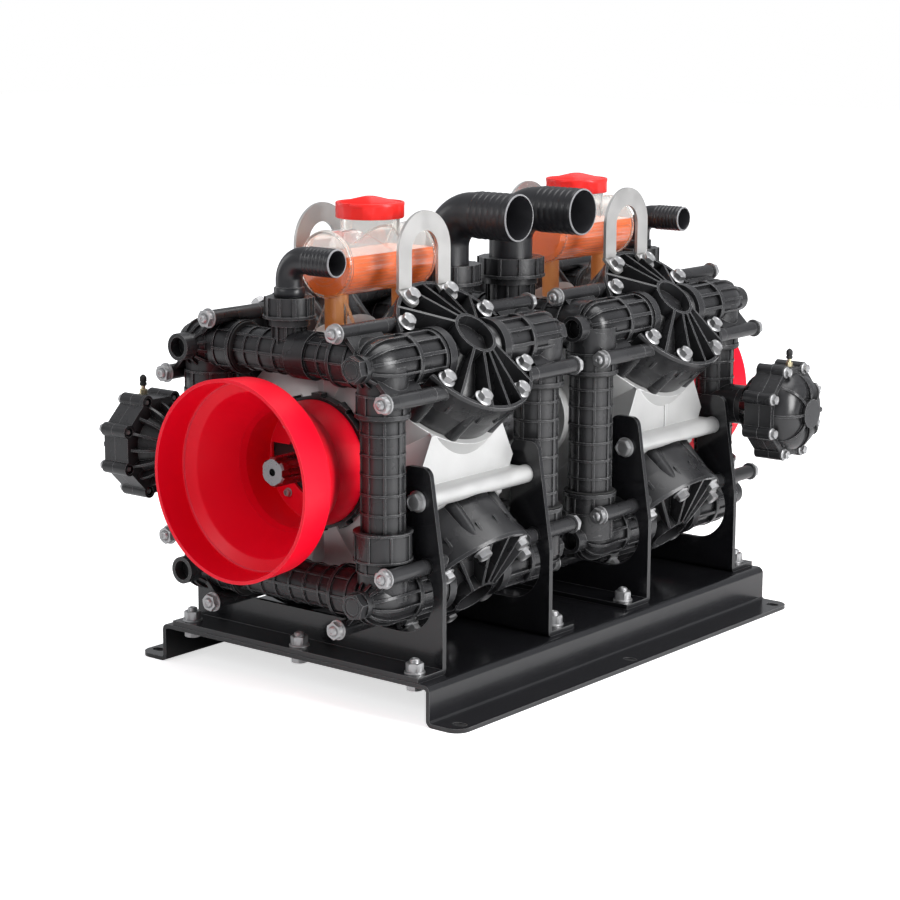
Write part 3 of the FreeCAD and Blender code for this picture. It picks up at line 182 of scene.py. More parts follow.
def floor_material():
    """White paper: it takes the object's shadow, and glows more where the lamps no longer reach it."""
    material = bpy.data.materials.new("studio paper")
    material.use_nodes = True
    tree = material.node_tree
    shader = tree.nodes["Principled BSDF"]
    shader.inputs["Base Color"].default_value = (0.92, 0.92, 0.92, 1)
    shader.inputs["Roughness"].default_value = 0.9
    shader.inputs["Emission Color"].default_value = (1, 1, 1, 1)
    place = tree.nodes.new("ShaderNodeTexCoord")
    distance = tree.nodes.new("ShaderNodeVectorMath")
    distance.operation = "LENGTH"
    tree.links.new(place.outputs["Object"], distance.inputs[0])
    far = stretched(tree, distance.outputs["Value"], lamplit, (floor_glow, 1.0))
    paths = tree.nodes.new("ShaderNodeLightPath")
    glow = maths(tree, "MULTIPLY", far, paths.outputs["Is Camera Ray"])
    tree.links.new(glow, shader.inputs["Emission Strength"])
    return material


floor_data = bpy.data.meshes.new("floor")
floor_corners = [(x * floor_half, y * floor_half, 0) for x, y in ((-1, -1), (1, -1), (1, 1), (-1, 1))]
floor_data.from_pydata(floor_corners, [], [(0, 1, 2, 3)])
floor = bpy.data.objects.new("floor", floor_data)
bpy.context.collection.objects.link(floor)
floor_data.materials.append(floor_material())
print("floor of", 2 * floor_half, "m, glow", floor_glow)

# %% [markdown]
# Soft boxes light the set: the strongest stands at the right, one hangs overhead, and two weak ones fill the
# front and the left. Area lamps are used because they are mirrored in the black plastic as broad, soft
# patches, which is what tells the eye that it is moulded.

# %% Soft boxes
middle = (0, 0, 0.3)


def soft_box(name, place, size, power):
    """A lamp of a size in metres and a power in watts, turned to the middle of the set."""
    data = bpy.data.lights.new(name, "AREA")
    data.shape = "RECTANGLE"
    data.size, data.size_y = size
    data.energy = power
    lamp = bpy.data.objects.new(name, data)
    lamp.location = place
    lamp.rotation_euler = (Vector(middle) - Vector(place)).to_track_quat("-Z", "Y").to_euler()
    bpy.context.collection.objects.link(lamp)
    print(name, power, "W")


soft_box("right_box", (2.7, 0.2, 1.2), (1.2, 1.8), 88)
soft_box("top_box", (0.3, 0.5, 2.7), (2.0, 2.0), 42)
soft_box("front_box", (-0.7, -2.8, 1.7), (1.6, 1.2), 20)
soft_box("left_box", (-2.6, -0.8, 1.0), (0.6, 1.6), 9)

# %% [markdown]
# ## Finishes
# A real surface is never one flat colour: a moulding has a faint grain and duller patches, a casting is
# peppered, plated steel is streaked. One helper lays those over a base shader with noise in real metres, so
# the grain has its true size on every piece. A painted picture could do the same, but it would need an
# unwrapped mesh for each solid.
#
# Two more helpers tell the shape with painted light. Sharp edges get a paler colour as a painted highlight,
# which the Bevel node finds by comparing the rounded normal with the flat one. Corners that no light gets
# into get painted shade, a darker colour and less shine, which the Ambient Occlusion node finds by looking
# round.

# %% Helpers for surfaces
edge_lean = (0.995, 0.88)     # cosine between flat and rounded normal: no painted highlight, full highlight
corner_sky = (0.35, 0.85)     # share of open sky: deep corner, open face
corner_shine = (0.06, 0.5)    # specular level in a deep corner and on an open face
coat_roughness = 0.12
grain_height = 0.4 * mm


def painted_edge_highlights(tree, tone, edge, radius):
    """Rounds edges by a radius in millimetres with a paler painted highlight; gives the colour and the
    normal.
    """
    rounded = tree.nodes.new("ShaderNodeBevel")
    rounded.samples = 4
    rounded.inputs["Radius"].default_value = radius * mm
    flat = tree.nodes.new("ShaderNodeNewGeometry")
    lean = tree.nodes.new("ShaderNodeVectorMath")
    lean.operation = "DOT_PRODUCT"
    tree.links.new(rounded.outputs["Normal"], lean.inputs[0])
    tree.links.new(flat.outputs["Normal"], lean.inputs[1])
    highlight_share = stretched(tree, lean.outputs["Value"], edge_lean, (0, 1))
    return laid_over(tree, tone, edge, highlight_share), rounded.outputs["Normal"]


def painted_corner_shade(tree, tone, width):
    """Paints shade into corners narrower than a width in millimetres; gives the colour and the shine."""
    sky = tree.nodes.new("ShaderNodeAmbientOcclusion")
    sky.samples = 4
    sky.inputs["Distance"].default_value = width * mm
    tree.links.new(tone, sky.inputs["Color"])
    return sky.outputs["Color"], stretched(tree, sky.outputs["AO"], corner_sky, corner_shine)


# the ranges of the painted edge highlights and of the painted corner shade
print("painted edge highlights between", edge_lean, "and painted corner shade between", corner_sky)

# %% [markdown]
# The surface itself: its colour drifts from dark to light in patches, its gloss drifts with the same patches,
# and a fine grain raises it as a bump.

# %% Surfaces


def surface(name, colour, dark, roughness, spread, metallic=0.0, patch=18.0, grain=900.0, depth=0.12,
            coat=0.0, edge=None, edge_radius=0.6, hollow=0.0):
    """A material that drifts between two colours, and in gloss by spread, under a grain of some depth.

    Where edge is a colour, sharp edges are painted with it over edge_radius as a highlight. Where hollow is
    a width, corners narrower than it get painted shade, darker and duller. Both are in millimetres.
    """
    material = bpy.data.materials.new(name)
    material.use_nodes = True
    tree = material.node_tree
    shader = tree.nodes["Principled BSDF"]
    shader.inputs["Metallic"].default_value = metallic
    shader.inputs["Coat Weight"].default_value = coat
    shader.inputs["Coat Roughness"].default_value = coat_roughness
    patches = speckle(tree, patch, 4.0)
    tone = laid_over(tree, dark, colour, patches)
    bump = tree.nodes.new("ShaderNodeBump")
    bump.inputs["Strength"].default_value = depth
    bump.inputs["Distance"].default_value = grain_height
    tree.links.new(speckle(tree, grain, 2.0), bump.inputs["Height"])
    tree.links.new(bump.outputs["Normal"], shader.inputs["Normal"])
    # sharp edges are painted paler, as a highlight
    if edge:
        tone, normal = painted_edge_highlights(tree, tone, edge, edge_radius)
        tree.links.new(normal, bump.inputs["Normal"])
    # corners get painted shade: a darker colour and less shine
    if hollow:
        tone, shine = painted_corner_shade(tree, tone, hollow)
        tree.links.new(shine, shader.inputs["Specular IOR Level"])
    tree.links.new(tone, shader.inputs["Base Color"])
    gloss = stretched(tree, patches, (0.3, 0.7), (roughness - spread, roughness + spread))
    tree.links.new(gloss, shader.inputs["Roughness"])
    return material


finishes = {}
print("surfaces can be made")

# %% [markdown]
# ## Black mouldings
# Heads, manifolds and accumulators are moulded in glass filled nylon: nearly black and half glossy, with a
# painted highlight on the edges and painted shade in the corners. The hose elbows are smoother and blacker,
# and their mouths carry a pale ring of painted highlight. Seals are matt rubber.

# %% Black finishes
# the edge colours below are painted highlights, and the corners of the nylon get painted shade
highlight_grey = (0.33, 0.33, 0.335)
finishes["black_plastic"] = surface("glass filled nylon", (0.034, 0.034, 0.036), (0.012, 0.012, 0.013), 0.27,
                                    0.06, grain=1400, depth=0.14, edge=highlight_grey, hollow=10.0)
finishes["hose_plastic"] = surface("smooth nylon", (0.018, 0.018, 0.021), (0.012, 0.012, 0.014), 0.33, 0.05,
                                   grain=2200, depth=0.10, edge=(0.5, 0.5, 0.5), edge_radius=0.8)
# a pale grey for the rims of the hose mouths: a painted highlight
finishes["painted_rim_highlight"] = surface("painted rim highlight", (0.30, 0.30, 0.31), (0.22, 0.22, 0.23), 0.5, 0.05)
finishes["seal_rubber"] = surface("seal rubber", (0.014, 0.014, 0.014), (0.010, 0.010, 0.010), 0.7, 0.05)
print("black finishes:", sorted(finishes))

# %% [markdown]
# ## Metals
# The crankcases are cast aluminium, which is dull and peppered, so it is only half metallic. Base and
# brackets are black powder coat, a paint with a slight orange peel under a clear skin. Bolts are zinc plated,
# the lifting eyes are stainless sheet, and the shaft is dark where it was machined.

# %% Metal finishes
# the pale edge colours of the cast aluminium and the powder coat are painted highlights
finishes["cast_aluminium"] = surface("cast aluminium", (0.62, 0.62, 0.615), (0.50, 0.50, 0.495), 0.46, 0.07,
                                     metallic=0.5, patch=30, grain=700, depth=0.4, edge=(0.85, 0.85, 0.85),
                                     edge_radius=1.2)
finishes["black_powder_coat"] = surface("black powder coat", (0.009, 0.009, 0.011), (0.007, 0.007, 0.008),
                                        0.24, 0.03, grain=650, depth=0.25, coat=0.3, edge=(0.28, 0.28, 0.28))
finishes["zinc_steel"] = surface("zinc plated steel", (0.51, 0.51, 0.51), (0.39, 0.39, 0.40), 0.42, 0.07,
                                 metallic=0.85, patch=160, grain=1600, depth=0.2)
finishes["stainless"] = surface("stainless sheet", (0.70, 0.69, 0.675), (0.60, 0.59, 0.575), 0.38, 0.05,
                                metallic=0.85, patch=40, grain=1200, depth=0.12)
finishes["shaft_steel"] = surface("machined shaft", (0.34, 0.34, 0.35), (0.20, 0.20, 0.21), 0.30, 0.06,
                                  metallic=1.0, patch=90, grain=900, depth=0.2)
finishes["bearing_steel"] = surface("bearing steel", (0.6, 0.6, 0.61), (0.5, 0.5, 0.5), 0.2, 0.04,
                                    metallic=1.0)
finishes["bronze"] = surface("bearing bronze", (0.62, 0.42, 0.20), (0.5, 0.33, 0.15), 0.32, 0.06,
                             metallic=1.0)
finishes["valve_metal"] = surface("valve metal", (0.10, 0.10, 0.10), (0.06, 0.06, 0.06), 0.4, 0.06,
                                  metallic=0.8)
finishes["brass"] = surface("pale brass", (0.80, 0.72, 0.50), (0.70, 0.60, 0.38), 0.3, 0.05, metallic=0.9)
print("with metals:", len(finishes))

# %% [markdown]
# ## Reds
# The shields are a cool red, the caps a warmer one. White gloss on red looks pink and thin, so the gloss
# takes a red tint as well, and the colour stays deep in the light.

# %% Red finishes
# the paler red edge colours are painted highlights, and the corners of the cap get painted shade
finishes["red_plastic"] = surface("red polypropylene", (0.92, 0.001, 0.022), (0.85, 0.001, 0.015), 0.42, 0.05,
                                  grain=900, depth=0.06, edge=(1.0, 0.06, 0.10), edge_radius=1.0)
finishes["red_cap"] = surface("red cap", (0.98, 0.034, 0.028), (0.92, 0.024, 0.020), 0.30, 0.04, grain=900,
                              depth=0.05, edge=(1.0, 0.12, 0.10), edge_radius=0.7, hollow=5.0)
for name in ("red_plastic", "red_cap"):
    red_shader = finishes[name].node_tree.nodes["Principled BSDF"]
    red_shader.inputs["Specular Tint"].default_value = (1, 0.5, 0.55, 1)
print("with reds:", len(finishes))

# %% [markdown]
# ## Clear tanks and oil
# The tank is clear plastic. Glass alone would show only the dark things behind it, so the wall above the oil
# has a faint painted glow. The oil is nearly opaque: light goes into it and comes back orange, which a little
# transmission and a faint painted glow of its own colour stand in for.

# %% Clear finishes
glow_from, glow_to = 0.508, 0.510    # height over the floor, in metres, at the level of the oil; the painted glow starts there
wall_glow_strength = 0.05
finishes["clear_plastic"] = surface("clear tank", (0.99, 0.99, 0.97), (0.98, 0.98, 0.95), 0.05, 0.02, patch=6,
                                    grain=60, depth=0.02)
finishes["oil"] = surface("pump oil", (1.0, 0.20, 0.02), (0.90, 0.14, 0.01), 0.10, 0.02, patch=6, depth=0.01)
finishes["thin_oil"] = surface("oil in a thin leg", (0.80, 0.40, 0.12), (0.62, 0.30, 0.08), 0.12, 0.02,
                               patch=40)
# both oils glow faintly in their own colour: painted light for the light that comes back out of the oil
for name, clearness in (("oil", 0.12), ("thin_oil", 0.3)):
    oil_shader = finishes[name].node_tree.nodes["Principled BSDF"]
    oil_shader.inputs["Transmission Weight"].default_value = clearness
    oil_shader.inputs["IOR"].default_value = 1.47
    oil_shader.inputs["Emission Color"].default_value = (1.0, 0.25, 0.03, 1)
    oil_shader.inputs["Emission Strength"].default_value = 0.08

clear_tree = finishes["clear_plastic"].node_tree
clear_shader = clear_tree.nodes["Principled BSDF"]
clear_shader.inputs["Transmission Weight"].default_value = 0.95
clear_shader.inputs["IOR"].default_value = 1.46
# the wall glows white above the oil level: a painted glow that no lamp gives
clear_shader.inputs["Emission Color"].default_value = (1, 1, 0.98, 1)
where = clear_tree.nodes.new("ShaderNodeTexCoord")
height = clear_tree.nodes.new("ShaderNodeSeparateXYZ")
clear_tree.links.new(where.outputs["Object"], height.inputs[0])
wall_glow = stretched(clear_tree, height.outputs["Z"], (glow_from, glow_to), (0, wall_glow_strength))
clear_tree.links.new(wall_glow, clear_shader.inputs["Emission Strength"])
print("all finishes:", len(finishes))

# %% [markdown]
# Each solid's slot in the record names the finish it takes, so the finishes are handed out by that list.

# %% Hand out the finishes
slot_of = {row["node"]: row["material_slot"] for row in frame["record"]["subparts"]}
print("slots known:", len(slot_of))
for name, solid in nodes.items():
    finish = finishes[slot_of[name]]
    solid.data.materials.clear()
    solid.data.materials.append(finish)

# %% [markdown]
# ## Places
# The solids were drawn in millimetres about the centre of each pump, and the rear pump is the front one
# turned half round. The same rule in one matrix lets a bolt be drawn once, in millimetres, and set down 64
# times.

# %% Matrices for places
pump_offset = 205.5
shaft_height = 267.3
pumps = ("front", "rear")
quarter_turns = (0, 90, 180, 270)
head_turns = (45, 135, 225, 315)


def stand(pump):
    """Takes millimetres about a pump's centre to metres in the frame."""
    side, turn = (1, math.pi) if pump == "rear" else (-1, 0)
    place = Matrix.Translation((0, side * pump_offset, shaft_height))
    return Matrix.Scale(mm, 4) @ place @ Matrix.Rotation(turn, 4, "Z")


def about_y(degrees):
    """A turn about the shaft."""
    return Matrix.Rotation(math.radians(degrees), 4, "Y")


def aimed(start, direction, spin=0.0):
    """Turns a shape drawn along +Z to a direction, spun about itself, and moves its foot to start."""
    turn = Vector(direction).to_track_quat("Z", "Y").to_matrix().to_4x4()
    return Matrix.Translation(start) @ turn @ Matrix.Rotation(math.radians(spin), 4, "Z")


print("front pump stands at", [round(c, 4) for c in stand("front").translation])

# %% [markdown]
# ## Turned shapes
# Bolts, nuts, washers, plugs and hose ridges are all turned or hexagonal. Each is drawn as a stack of rings
# of points, joined by faces. A plain cylinder would do for the silhouette, but the small chamfers are what
# catches the light, and rings can hold every one of them.

# %% Rings
ring_points = 48


def ring(radius, height, across=0.0):
    """A ring of points; where across flats is given, flats limit the radius to a hexagon."""
    points = []
    for i in range(ring_points):
        angle = 2 * math.pi * i / ring_points
        reach = radius
        if across:
            flat = across / 2 / math.cos((angle + math.pi / 6) % (math.pi / 3) - math.pi / 6)
            reach = min(radius, flat)
        points.append(Vector((reach * math.cos(angle), reach * math.sin(angle), height)))
    return points


def chamfered(across, height, down):
    """A hexagon's edge ring, pulled down or up at its corners as a turned chamfer does."""
    points = ring(across, 0, across)
    slope = down * math.tan(math.radians(30))
    for point in points:
        point.z = height - slope * (point.xy.length - across / 2)
    return points


print("a ring has", ring_points, "points")

# %% [markdown]
# Two rings are joined by a strip of four-sided faces. A stack of rings makes a skin, which is capped at both
# ends, or closed on itself where the last ring meets the first, as in a tube.

# %% Skins


def skin(rings, closed=False):
    """Joins rings into a skin, capped at both ends or closed on itself."""
    shape = bmesh.new()
    loops = [[shape.verts.new(point) for point in points] for points in rings]
    following = loops[1:] + (loops[:1] if closed else [])
    for low, high in zip(loops, following):
        for i in range(len(low)):
            j = (i + 1) % len(low)
            shape.faces.new((low[i], low[j], high[j], high[i]))
    if not closed:
        shape.faces.new(loops[0][::-1])
        shape.faces.new(loops[-1])
    return shape


def lathe(profile, closed=False):
    """Turns a profile of (radius, height) points about the axis."""
    return skin([ring(radius, height) for radius, height in profile], closed)


print("a washer has", len(lathe([(6, 0), (12, 0), (12, 2), (6, 2)], closed=True).faces), "faces")

# %% [markdown]
# ## Pieces
# One object can hold many copies of a shape, so that 64 bolts are one piece with one finish. It rides on a
# body, moves with it at a pose, and hides the solids of the frame that it takes the place of.


def piece(name, shape, places, finish, body="pump_set", replaced=(), sharp=38.0):
    """One object with a copy of a shape at each place, in its finish, riding on a body."""
    mesh = bpy.data.meshes.new(name)
    joined = bmesh.new()
    for place in places:
        shape.to_mesh(mesh)
        mesh.transform(place)
        joined.from_mesh(mesh)
    bmesh.ops.recalc_face_normals(joined, faces=joined.faces)
    joined.to_mesh(mesh)
    joined.free()
    mesh.shade_smooth()
    mesh.set_sharp_from_angle(angle=math.radians(sharp))
    mesh.materials.append(finishes[finish])
    made = bpy.data.objects.new(name, mesh)
    bpy.context.collection.objects.link(made)
    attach(made, body)
    if replaced:
        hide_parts(*replaced)
    print(name, "copies:", len(places), "faces:", len(mesh.polygons))


# %% [markdown]
# ## Flanged bolts
# Each head is held by eight zinc plated bolts. A flanged bolt is a hexagon with its corners turned off, on a
# round flange that spreads the load on the plastic. They replace the plain hexagons of the frame.

# %% Head bolts
bolt_circle = 82.6
head_bolt_angles = (30, 65, 115, 150, 210, 245, 295, 330)
head_rim = 200.0


def flanged_bolt(across, height, flange, shank, length):
    """A bolt on its seat, by width across flats, height of head, radii of flange and shank, and length."""
    edge = across / 2
    return skin([ring(shank * 0.8, -length), ring(shank, 1 - length), ring(shank, 0), ring(flange - 0.3, 0),
                 ring(flange, 0.4), ring(flange, 1.1), ring(flange - 0.5, 1.5), ring(edge + 1.6, 2.2),
                 ring(across, 2.3, across), chamfered(across, height, 1), ring(edge - 0.4, height),
                 ring(edge - 1.6, height), ring(edge - 2.1, height - 0.5)])


head_bolt_places = []
for pump in pumps:
    for degrees in head_turns:
        for i, angle in enumerate(head_bolt_angles):
            t = bolt_circle * math.sin(math.radians(angle))
            y = bolt_circle * math.cos(math.radians(angle))
            spin = (i * 37 + degrees * 1.7) % 60
            head_bolt_places.append(stand(pump) @ about_y(degrees) @ aimed((t, y, head_rim), (0, 0, 1), spin))
head_bolt = flanged_bolt(across=15.0, height=9.5, flange=10.8, shank=5.0, length=78.0)
piece("head_bolts_flanged", head_bolt, head_bolt_places, "zinc_steel", replaced=["head_bolts"])

# %% [markdown]
# ## Nuts with washers and threads
# The tie rods end in a washer, a nut chamfered on both sides and a few turns of thread. The turns are true
# ridges, one every pitch: at this size a bump would flicker, and the ridge costs two rings of points.

# %% Tie rod nuts
rod_spread = 50.0
corner_offset = 133.0
rod_seat = 174.0
rod_tip = 186.0
rod_start = 78.0
rod_shank = 4.95
rod_step = rod_spread / math.sqrt(2)


def nut_on_thread(across, height, washer, washer_height, rod, pitch, tip, shank, length):
    """A washer, a hexagon nut and a rod end with its thread, standing on a seat, over the rod's shank."""
    edge = across / 2
    top = washer_height + height
    rings = [ring(shank, -length), ring(shank, 0), ring(washer - 0.3, 0), ring(washer, 0.3),
             ring(washer, washer_height - 0.4), ring(washer - 0.4, washer_height),
             ring(edge + 0.2, washer_height), chamfered(across, washer_height + 0.3, -1),
             chamfered(across, top, 1), ring(edge - 0.4, top),
             ring(rod + 0.7, top), ring(rod - 0.3, top - 0.7)]
    root = top + 0.1
    while root + pitch < tip - 0.8:
        rings += [ring(rod - 0.6, root), ring(rod, root + pitch / 2)]
        root += pitch
    rings += [ring(rod - 0.6, root), ring(rod - 0.6, tip - 2.0), ring(rod - 1.2, tip - 0.9),
              ring(rod - 2.2, tip - 0.2), ring(rod * 0.4, tip), ring(rod * 0.3, tip - 0.7)]
    return skin(rings)


rod_nut_places = []
for pump in pumps:
    for x_side in (-1, 1):
        for z_side in (-1, 1):
            for swap in (-1, 1):
                x = x_side * (corner_offset + swap * rod_step)
                z = z_side * (corner_offset - swap * rod_step)
                for side in (-1, 1):
                    spin = (x * 3 + z * 7 + side * 11) % 60
                    rod_nut_places.append(stand(pump) @ aimed((x, side * rod_seat, z), (0, side, 0), spin))
tie_rod = nut_on_thread(across=18.0, height=7.2, washer=11.6, washer_height=1.8, rod=5.8, pitch=1.6,
                        tip=rod_tip - rod_seat, shank=rod_shank, length=rod_seat - rod_start)
piece("tie_rods_with_nuts", tie_rod, rod_nut_places, "zinc_steel", replaced=["tie_rods", "tie_rod_nuts"])

# %% [markdown]
# ## Base and bracket bolts
# The foot bolts come up from under the plate, so their washered heads show below it and their nuts above it.
# Four flanged bolts hold each pair of brackets to the ends of the cast bosses.

# %% Foot bolts and nuts
foot_columns = (-175.0, 0.0, 175.0)
foot_rows = [pump + side for pump in (-pump_offset, pump_offset) for side in (-132.0, 132.0)]
plate_under, foot_top = 42.7, 53.7
foot_shank = 5.9
metres = Matrix.Scale(mm, 4)
nut_places = []
head_places = []
for x in foot_columns:
    for y in foot_rows:
        spin = (x + y * 0.7) % 60
        nut_places.append(metres @ aimed((x, y, foot_top), (0, 0, 1), spin))
        head_places.append(metres @ aimed((x, y, plate_under), (0, 0, -1), spin + 20))
foot_nut = nut_on_thread(across=18.0, height=10.0, washer=12.0, washer_height=2.2, rod=6.0, pitch=1.75,
                         tip=17.0, shank=foot_shank, length=5.0)
foot_head = flanged_bolt(across=18.0, height=8.6, flange=12.0, shank=foot_shank, length=5.8)
piece("foot_nuts", foot_nut, nut_places, "zinc_steel", replaced=["base_bolts_and_nuts"])
piece("foot_bolt_heads", foot_head, head_places, "zinc_steel")

# %% Ear bolts
ear_across, ear_out, ear_down = 156.0, 104.0, 24.0
ear_places = []
for pump in pumps:
    for x in (-ear_across, ear_across):
        for side in (-1, 1):
            ear_places.append(stand(pump) @ aimed((x, side * ear_out, -ear_down), (0, side, 0), x + 9))
ear_bolt = flanged_bolt(across=18.0, height=9.2, flange=12.6, shank=6.0, length=24.0)
piece("ear_bolts_flanged", ear_bolt, ear_places, "zinc_steel", replaced=["bracket_ear_bolts"])

# %% [markdown]
# Eight small flanged bolts close each accumulator, and hexagon plugs close one hub of each pair on the
# manifolds. The plug's face is dished and carries a round pad, as moulded plugs have.

# %% Accumulator bolts
delivery_plane = 137.0
accumulator_cover = 256.0
accumulator_circle = 58.5
accumulator_places = []
for pump in pumps:
    for i in range(8):
        angle = math.radians(45 * i + 22.5)
        y = -delivery_plane + accumulator_circle * math.sin(angle)
        z = accumulator_circle * math.cos(angle)
        accumulator_places.append(stand(pump) @ aimed((-accumulator_cover, y, z), (-1, 0, 0), i * 23))
accumulator_bolt = flanged_bolt(across=10.0, height=6.6, flange=7.6, shank=3.0, length=39.0)
piece("accumulator_bolts_flanged", accumulator_bolt, accumulator_places, "zinc_steel",
      replaced=["accumulator_bolts"])

# %% Hub plugs


def hub_plug(across, height):
    """A hexagon plug with a dished face and a round pad in it."""
    edge = across / 2
    return skin([ring(across, 0, across), chamfered(across, height, 1), ring(edge - 0.8, height),
                 ring(edge - 1.9, height), ring(edge - 2.6, height - 1.2), ring(edge - 4.2, height - 1.2),
                 ring(edge - 4.8, height - 0.3), ring(edge - 5.6, height - 0.2)])


hub_face = 190.5
plug_height = 10.0
plug_places = []
plug_seat = aimed((corner_offset, plug_height - hub_face, corner_offset), (0, -1, 0), 12)
for pump in pumps:
    for half_turn, degrees in ((0, 0), (0, 90), (math.pi, 180), (math.pi, 270)):
        flip = Matrix.Rotation(half_turn, 4, "Z")
        plug_places.append(stand(pump) @ flip @ about_y(degrees) @ plug_seat)
plug = hub_plug(across=27.0, height=plug_height)
piece("hub_plugs", plug, plug_places, "black_plastic", replaced=["manifold_plugs"])

# %% [markdown]
# ## Hose elbows
# Each elbow is one tube: a flange inside the ring nut, an upright, a quarter bend and an arm with low ridges
# that bite into the hose. The tube is skinned over rings of points set square to its path, outside first and
# then back along the inside, so the wall is thin at the mouth. It rides on the elbow's own body and turns in
# the nut with it. A sweep along a curve would be shorter to write, but could not carry the ridges.

# %% Path of an elbow
outlet_x = 6.0
suction_plane = 148.5
outlets = {
    "delivery": {"y": delivery_plane, "thread": 22.0, "tube": 15.4, "barb": 16.3, "nut_top": 197.6,
                 "arm": 240.3, "bend": 24.0, "mouth": 73.0, "pitch": 5.6},
    "suction": {"y": -suction_plane, "thread": 34.0, "tube": 27.3, "barb": 28.7, "nut_top": 210.0,
                "arm": 272.4, "bend": 42.0, "mouth": 111.5, "pitch": 8.9},
}
elbow_wall = 2.3


def square_ring(radius, x, z, turned):
    """A ring of points square to a path in the XZ plane; turned is 0 for a path going up, 90 going right."""
    lean = math.radians(turned)
    middle = Vector((x, 0, z))
    across = Vector((-math.cos(lean), 0, math.sin(lean)))
    along_y = Vector((0, 1, 0))
    points = []
    for i in range(ring_points):
        angle = 2 * math.pi * i / ring_points
        points.append(middle + radius * (math.cos(angle) * across + math.sin(angle) * along_y))
    return points


def bend_rings(s, radius, steps):
    """Rings round the quarter bend of an elbow, from its upright to its arm."""
    rings = []
    for i in range(steps + 1):
        turned = 90 * i / steps
        x = s["bend"] * (1 - math.cos(math.radians(turned)))
        z = s["arm"] - s["bend"] + s["bend"] * math.sin(math.radians(turned))
        rings.append(square_ring(radius, x, z, turned))
    return rings


print("the suction elbow bends over", outlets["suction"]["bend"], "mm")

# %% [markdown]
# The foot of the elbow is a flange that the ring nut holds down. The small elbow has a wider shoulder over
# the nut. Each ridge on the arm has a slow side and a steep side, and is drawn once as shares of the pitch.

# %% Hose elbow
flange_depth = 6.7    # from the top of the nut down to the underside of the flange


def elbow_foot(s, shoulder):
    """Rings from the flange in the nut up to the start of the upright."""
    foot = s["nut_top"] - flange_depth
    low, high = s["nut_top"] + 0.3, s["nut_top"] + 10.8
    steps = [(s["thread"] - 1, foot), (s["thread"] - 1, foot + 3.9), (s["tube"], foot + 4.0)]
    if shoulder:
        wide = s["tube"] + 2.2
        steps += [(s["tube"], low), (wide - 0.7, low + 0.1), (wide, low + 0.8), (wide, high - 1.0),
                  (wide - 1.0, high), (s["tube"], high + 0.1)]
    return [square_ring(radius, 0, height, 0) for radius, height in steps]


def hose_ridges(s):
    """Rings along the arm, over as many ridges as it has room for."""
    low, crest = s["barb"] - 0.5, s["barb"] + 0.25
    ridge = ((0.0, low), (0.35, low + 0.15), (0.62, crest - 0.1), (0.74, crest), (0.86, crest - 0.25),
             (0.96, low))
    rings = []
    x = s["bend"] + 5.0
    while x + s["pitch"] < s["mouth"] - 2:
        rings += [square_ring(radius, x + share * s["pitch"], s["arm"], 90) for share, radius in ridge]
        x += s["pitch"]
    return rings


def hose_elbow(s, shoulder):
    """The elbow over its neck, with its arm towards +X: the outside first, then back along the inside."""
    rings = elbow_foot(s, shoulder) + bend_rings(s, s["tube"], 14) + hose_ridges(s)
    inner = s["barb"] - elbow_wall
    for radius, reach in ((s["barb"] - 0.2, s["mouth"] - 1.6), (s["barb"] - 0.2, s["mouth"] - 0.8),
                          (s["barb"] - 0.9, s["mouth"]), (inner + 0.4, s["mouth"]), (inner, s["mouth"] - 0.5),
                          (inner, s["bend"] + 4)):
        rings.append(square_ring(radius, reach, s["arm"], 90))
    rings += bend_rings(s, s["tube"] - elbow_wall, 10)[::-1]
    rings.append(square_ring(s["tube"] - elbow_wall, 0, s["nut_top"] - flange_depth, 0))
    return skin(rings, closed=True)


print("the suction elbow's ridges take", len(hose_ridges(outlets["suction"])), "rings")

# %% Rim of the mouth and placing


def mouth_rim(s):
    """The pale edge of the mouth, a painted highlight: a thin ring that lies over the end of the wall."""
    end, out = s["mouth"] + 0.04, s["barb"]
    lip = out - elbow_wall + 0.7
    profile = [(lip, end), (out - 0.95, end), (out - 0.12, end - 0.85), (out - 0.14, end - 1.4),
               (out - 1.0, end - 1.2), (lip, end - 0.6)]
    ring_shape = lathe(profile, closed=True)
    ring_shape.transform(Matrix.Translation((0, 0, s["arm"])) @ Matrix.Rotation(math.pi / 2, 4, "Y"))
    return ring_shape


for pump, side in (("front", -1), ("rear", 1)):
    for name, s in outlets.items():
        body = "%s_%s_hose_elbow" % (pump, name)
        # the outlet stands a little to the left on the front pump and to the right on the rear one
        place = metres @ Matrix.Translation((side * outlet_x, side * (pump_offset + s["y"]), shaft_height))
        tube = hose_elbow(s, name == "delivery")
        piece(body + "_tube", tube, [place], "hose_plastic", body=body, replaced=[body], sharp=50)
        # the rim takes the pale finish of a painted highlight
        piece(body + "_rim", mouth_rim(s), [place], "painted_rim_highlight", body=body)

# %% [markdown]
# ## Ribs and seals of the manifolds
# The manifold elbows are stiffened like baskets: broad bars along the valve barrel, a ring at each end of it,
# and fins over the dome that meet at the plug. The sockets for the pipes carry bars too, with a rubber seal
# at the mouth. They stand a little prouder than the solid model's own ribs, and give the black mouldings
# their light and dark pattern.

# %% Bars
barrel_start, barrel_end = 56.6, 106.5
dome_radius = 28.0
boss_radius, boss_start = 16.0, 170.5
bar_count, fin_count = 10, 12
socket_wall, socket_reach, socket_ring = 5.0, 58.0, 4.5
manifolds = (("delivery", 0.0, delivery_plane, 24.0), ("suction", math.pi, suction_plane, 26.0))


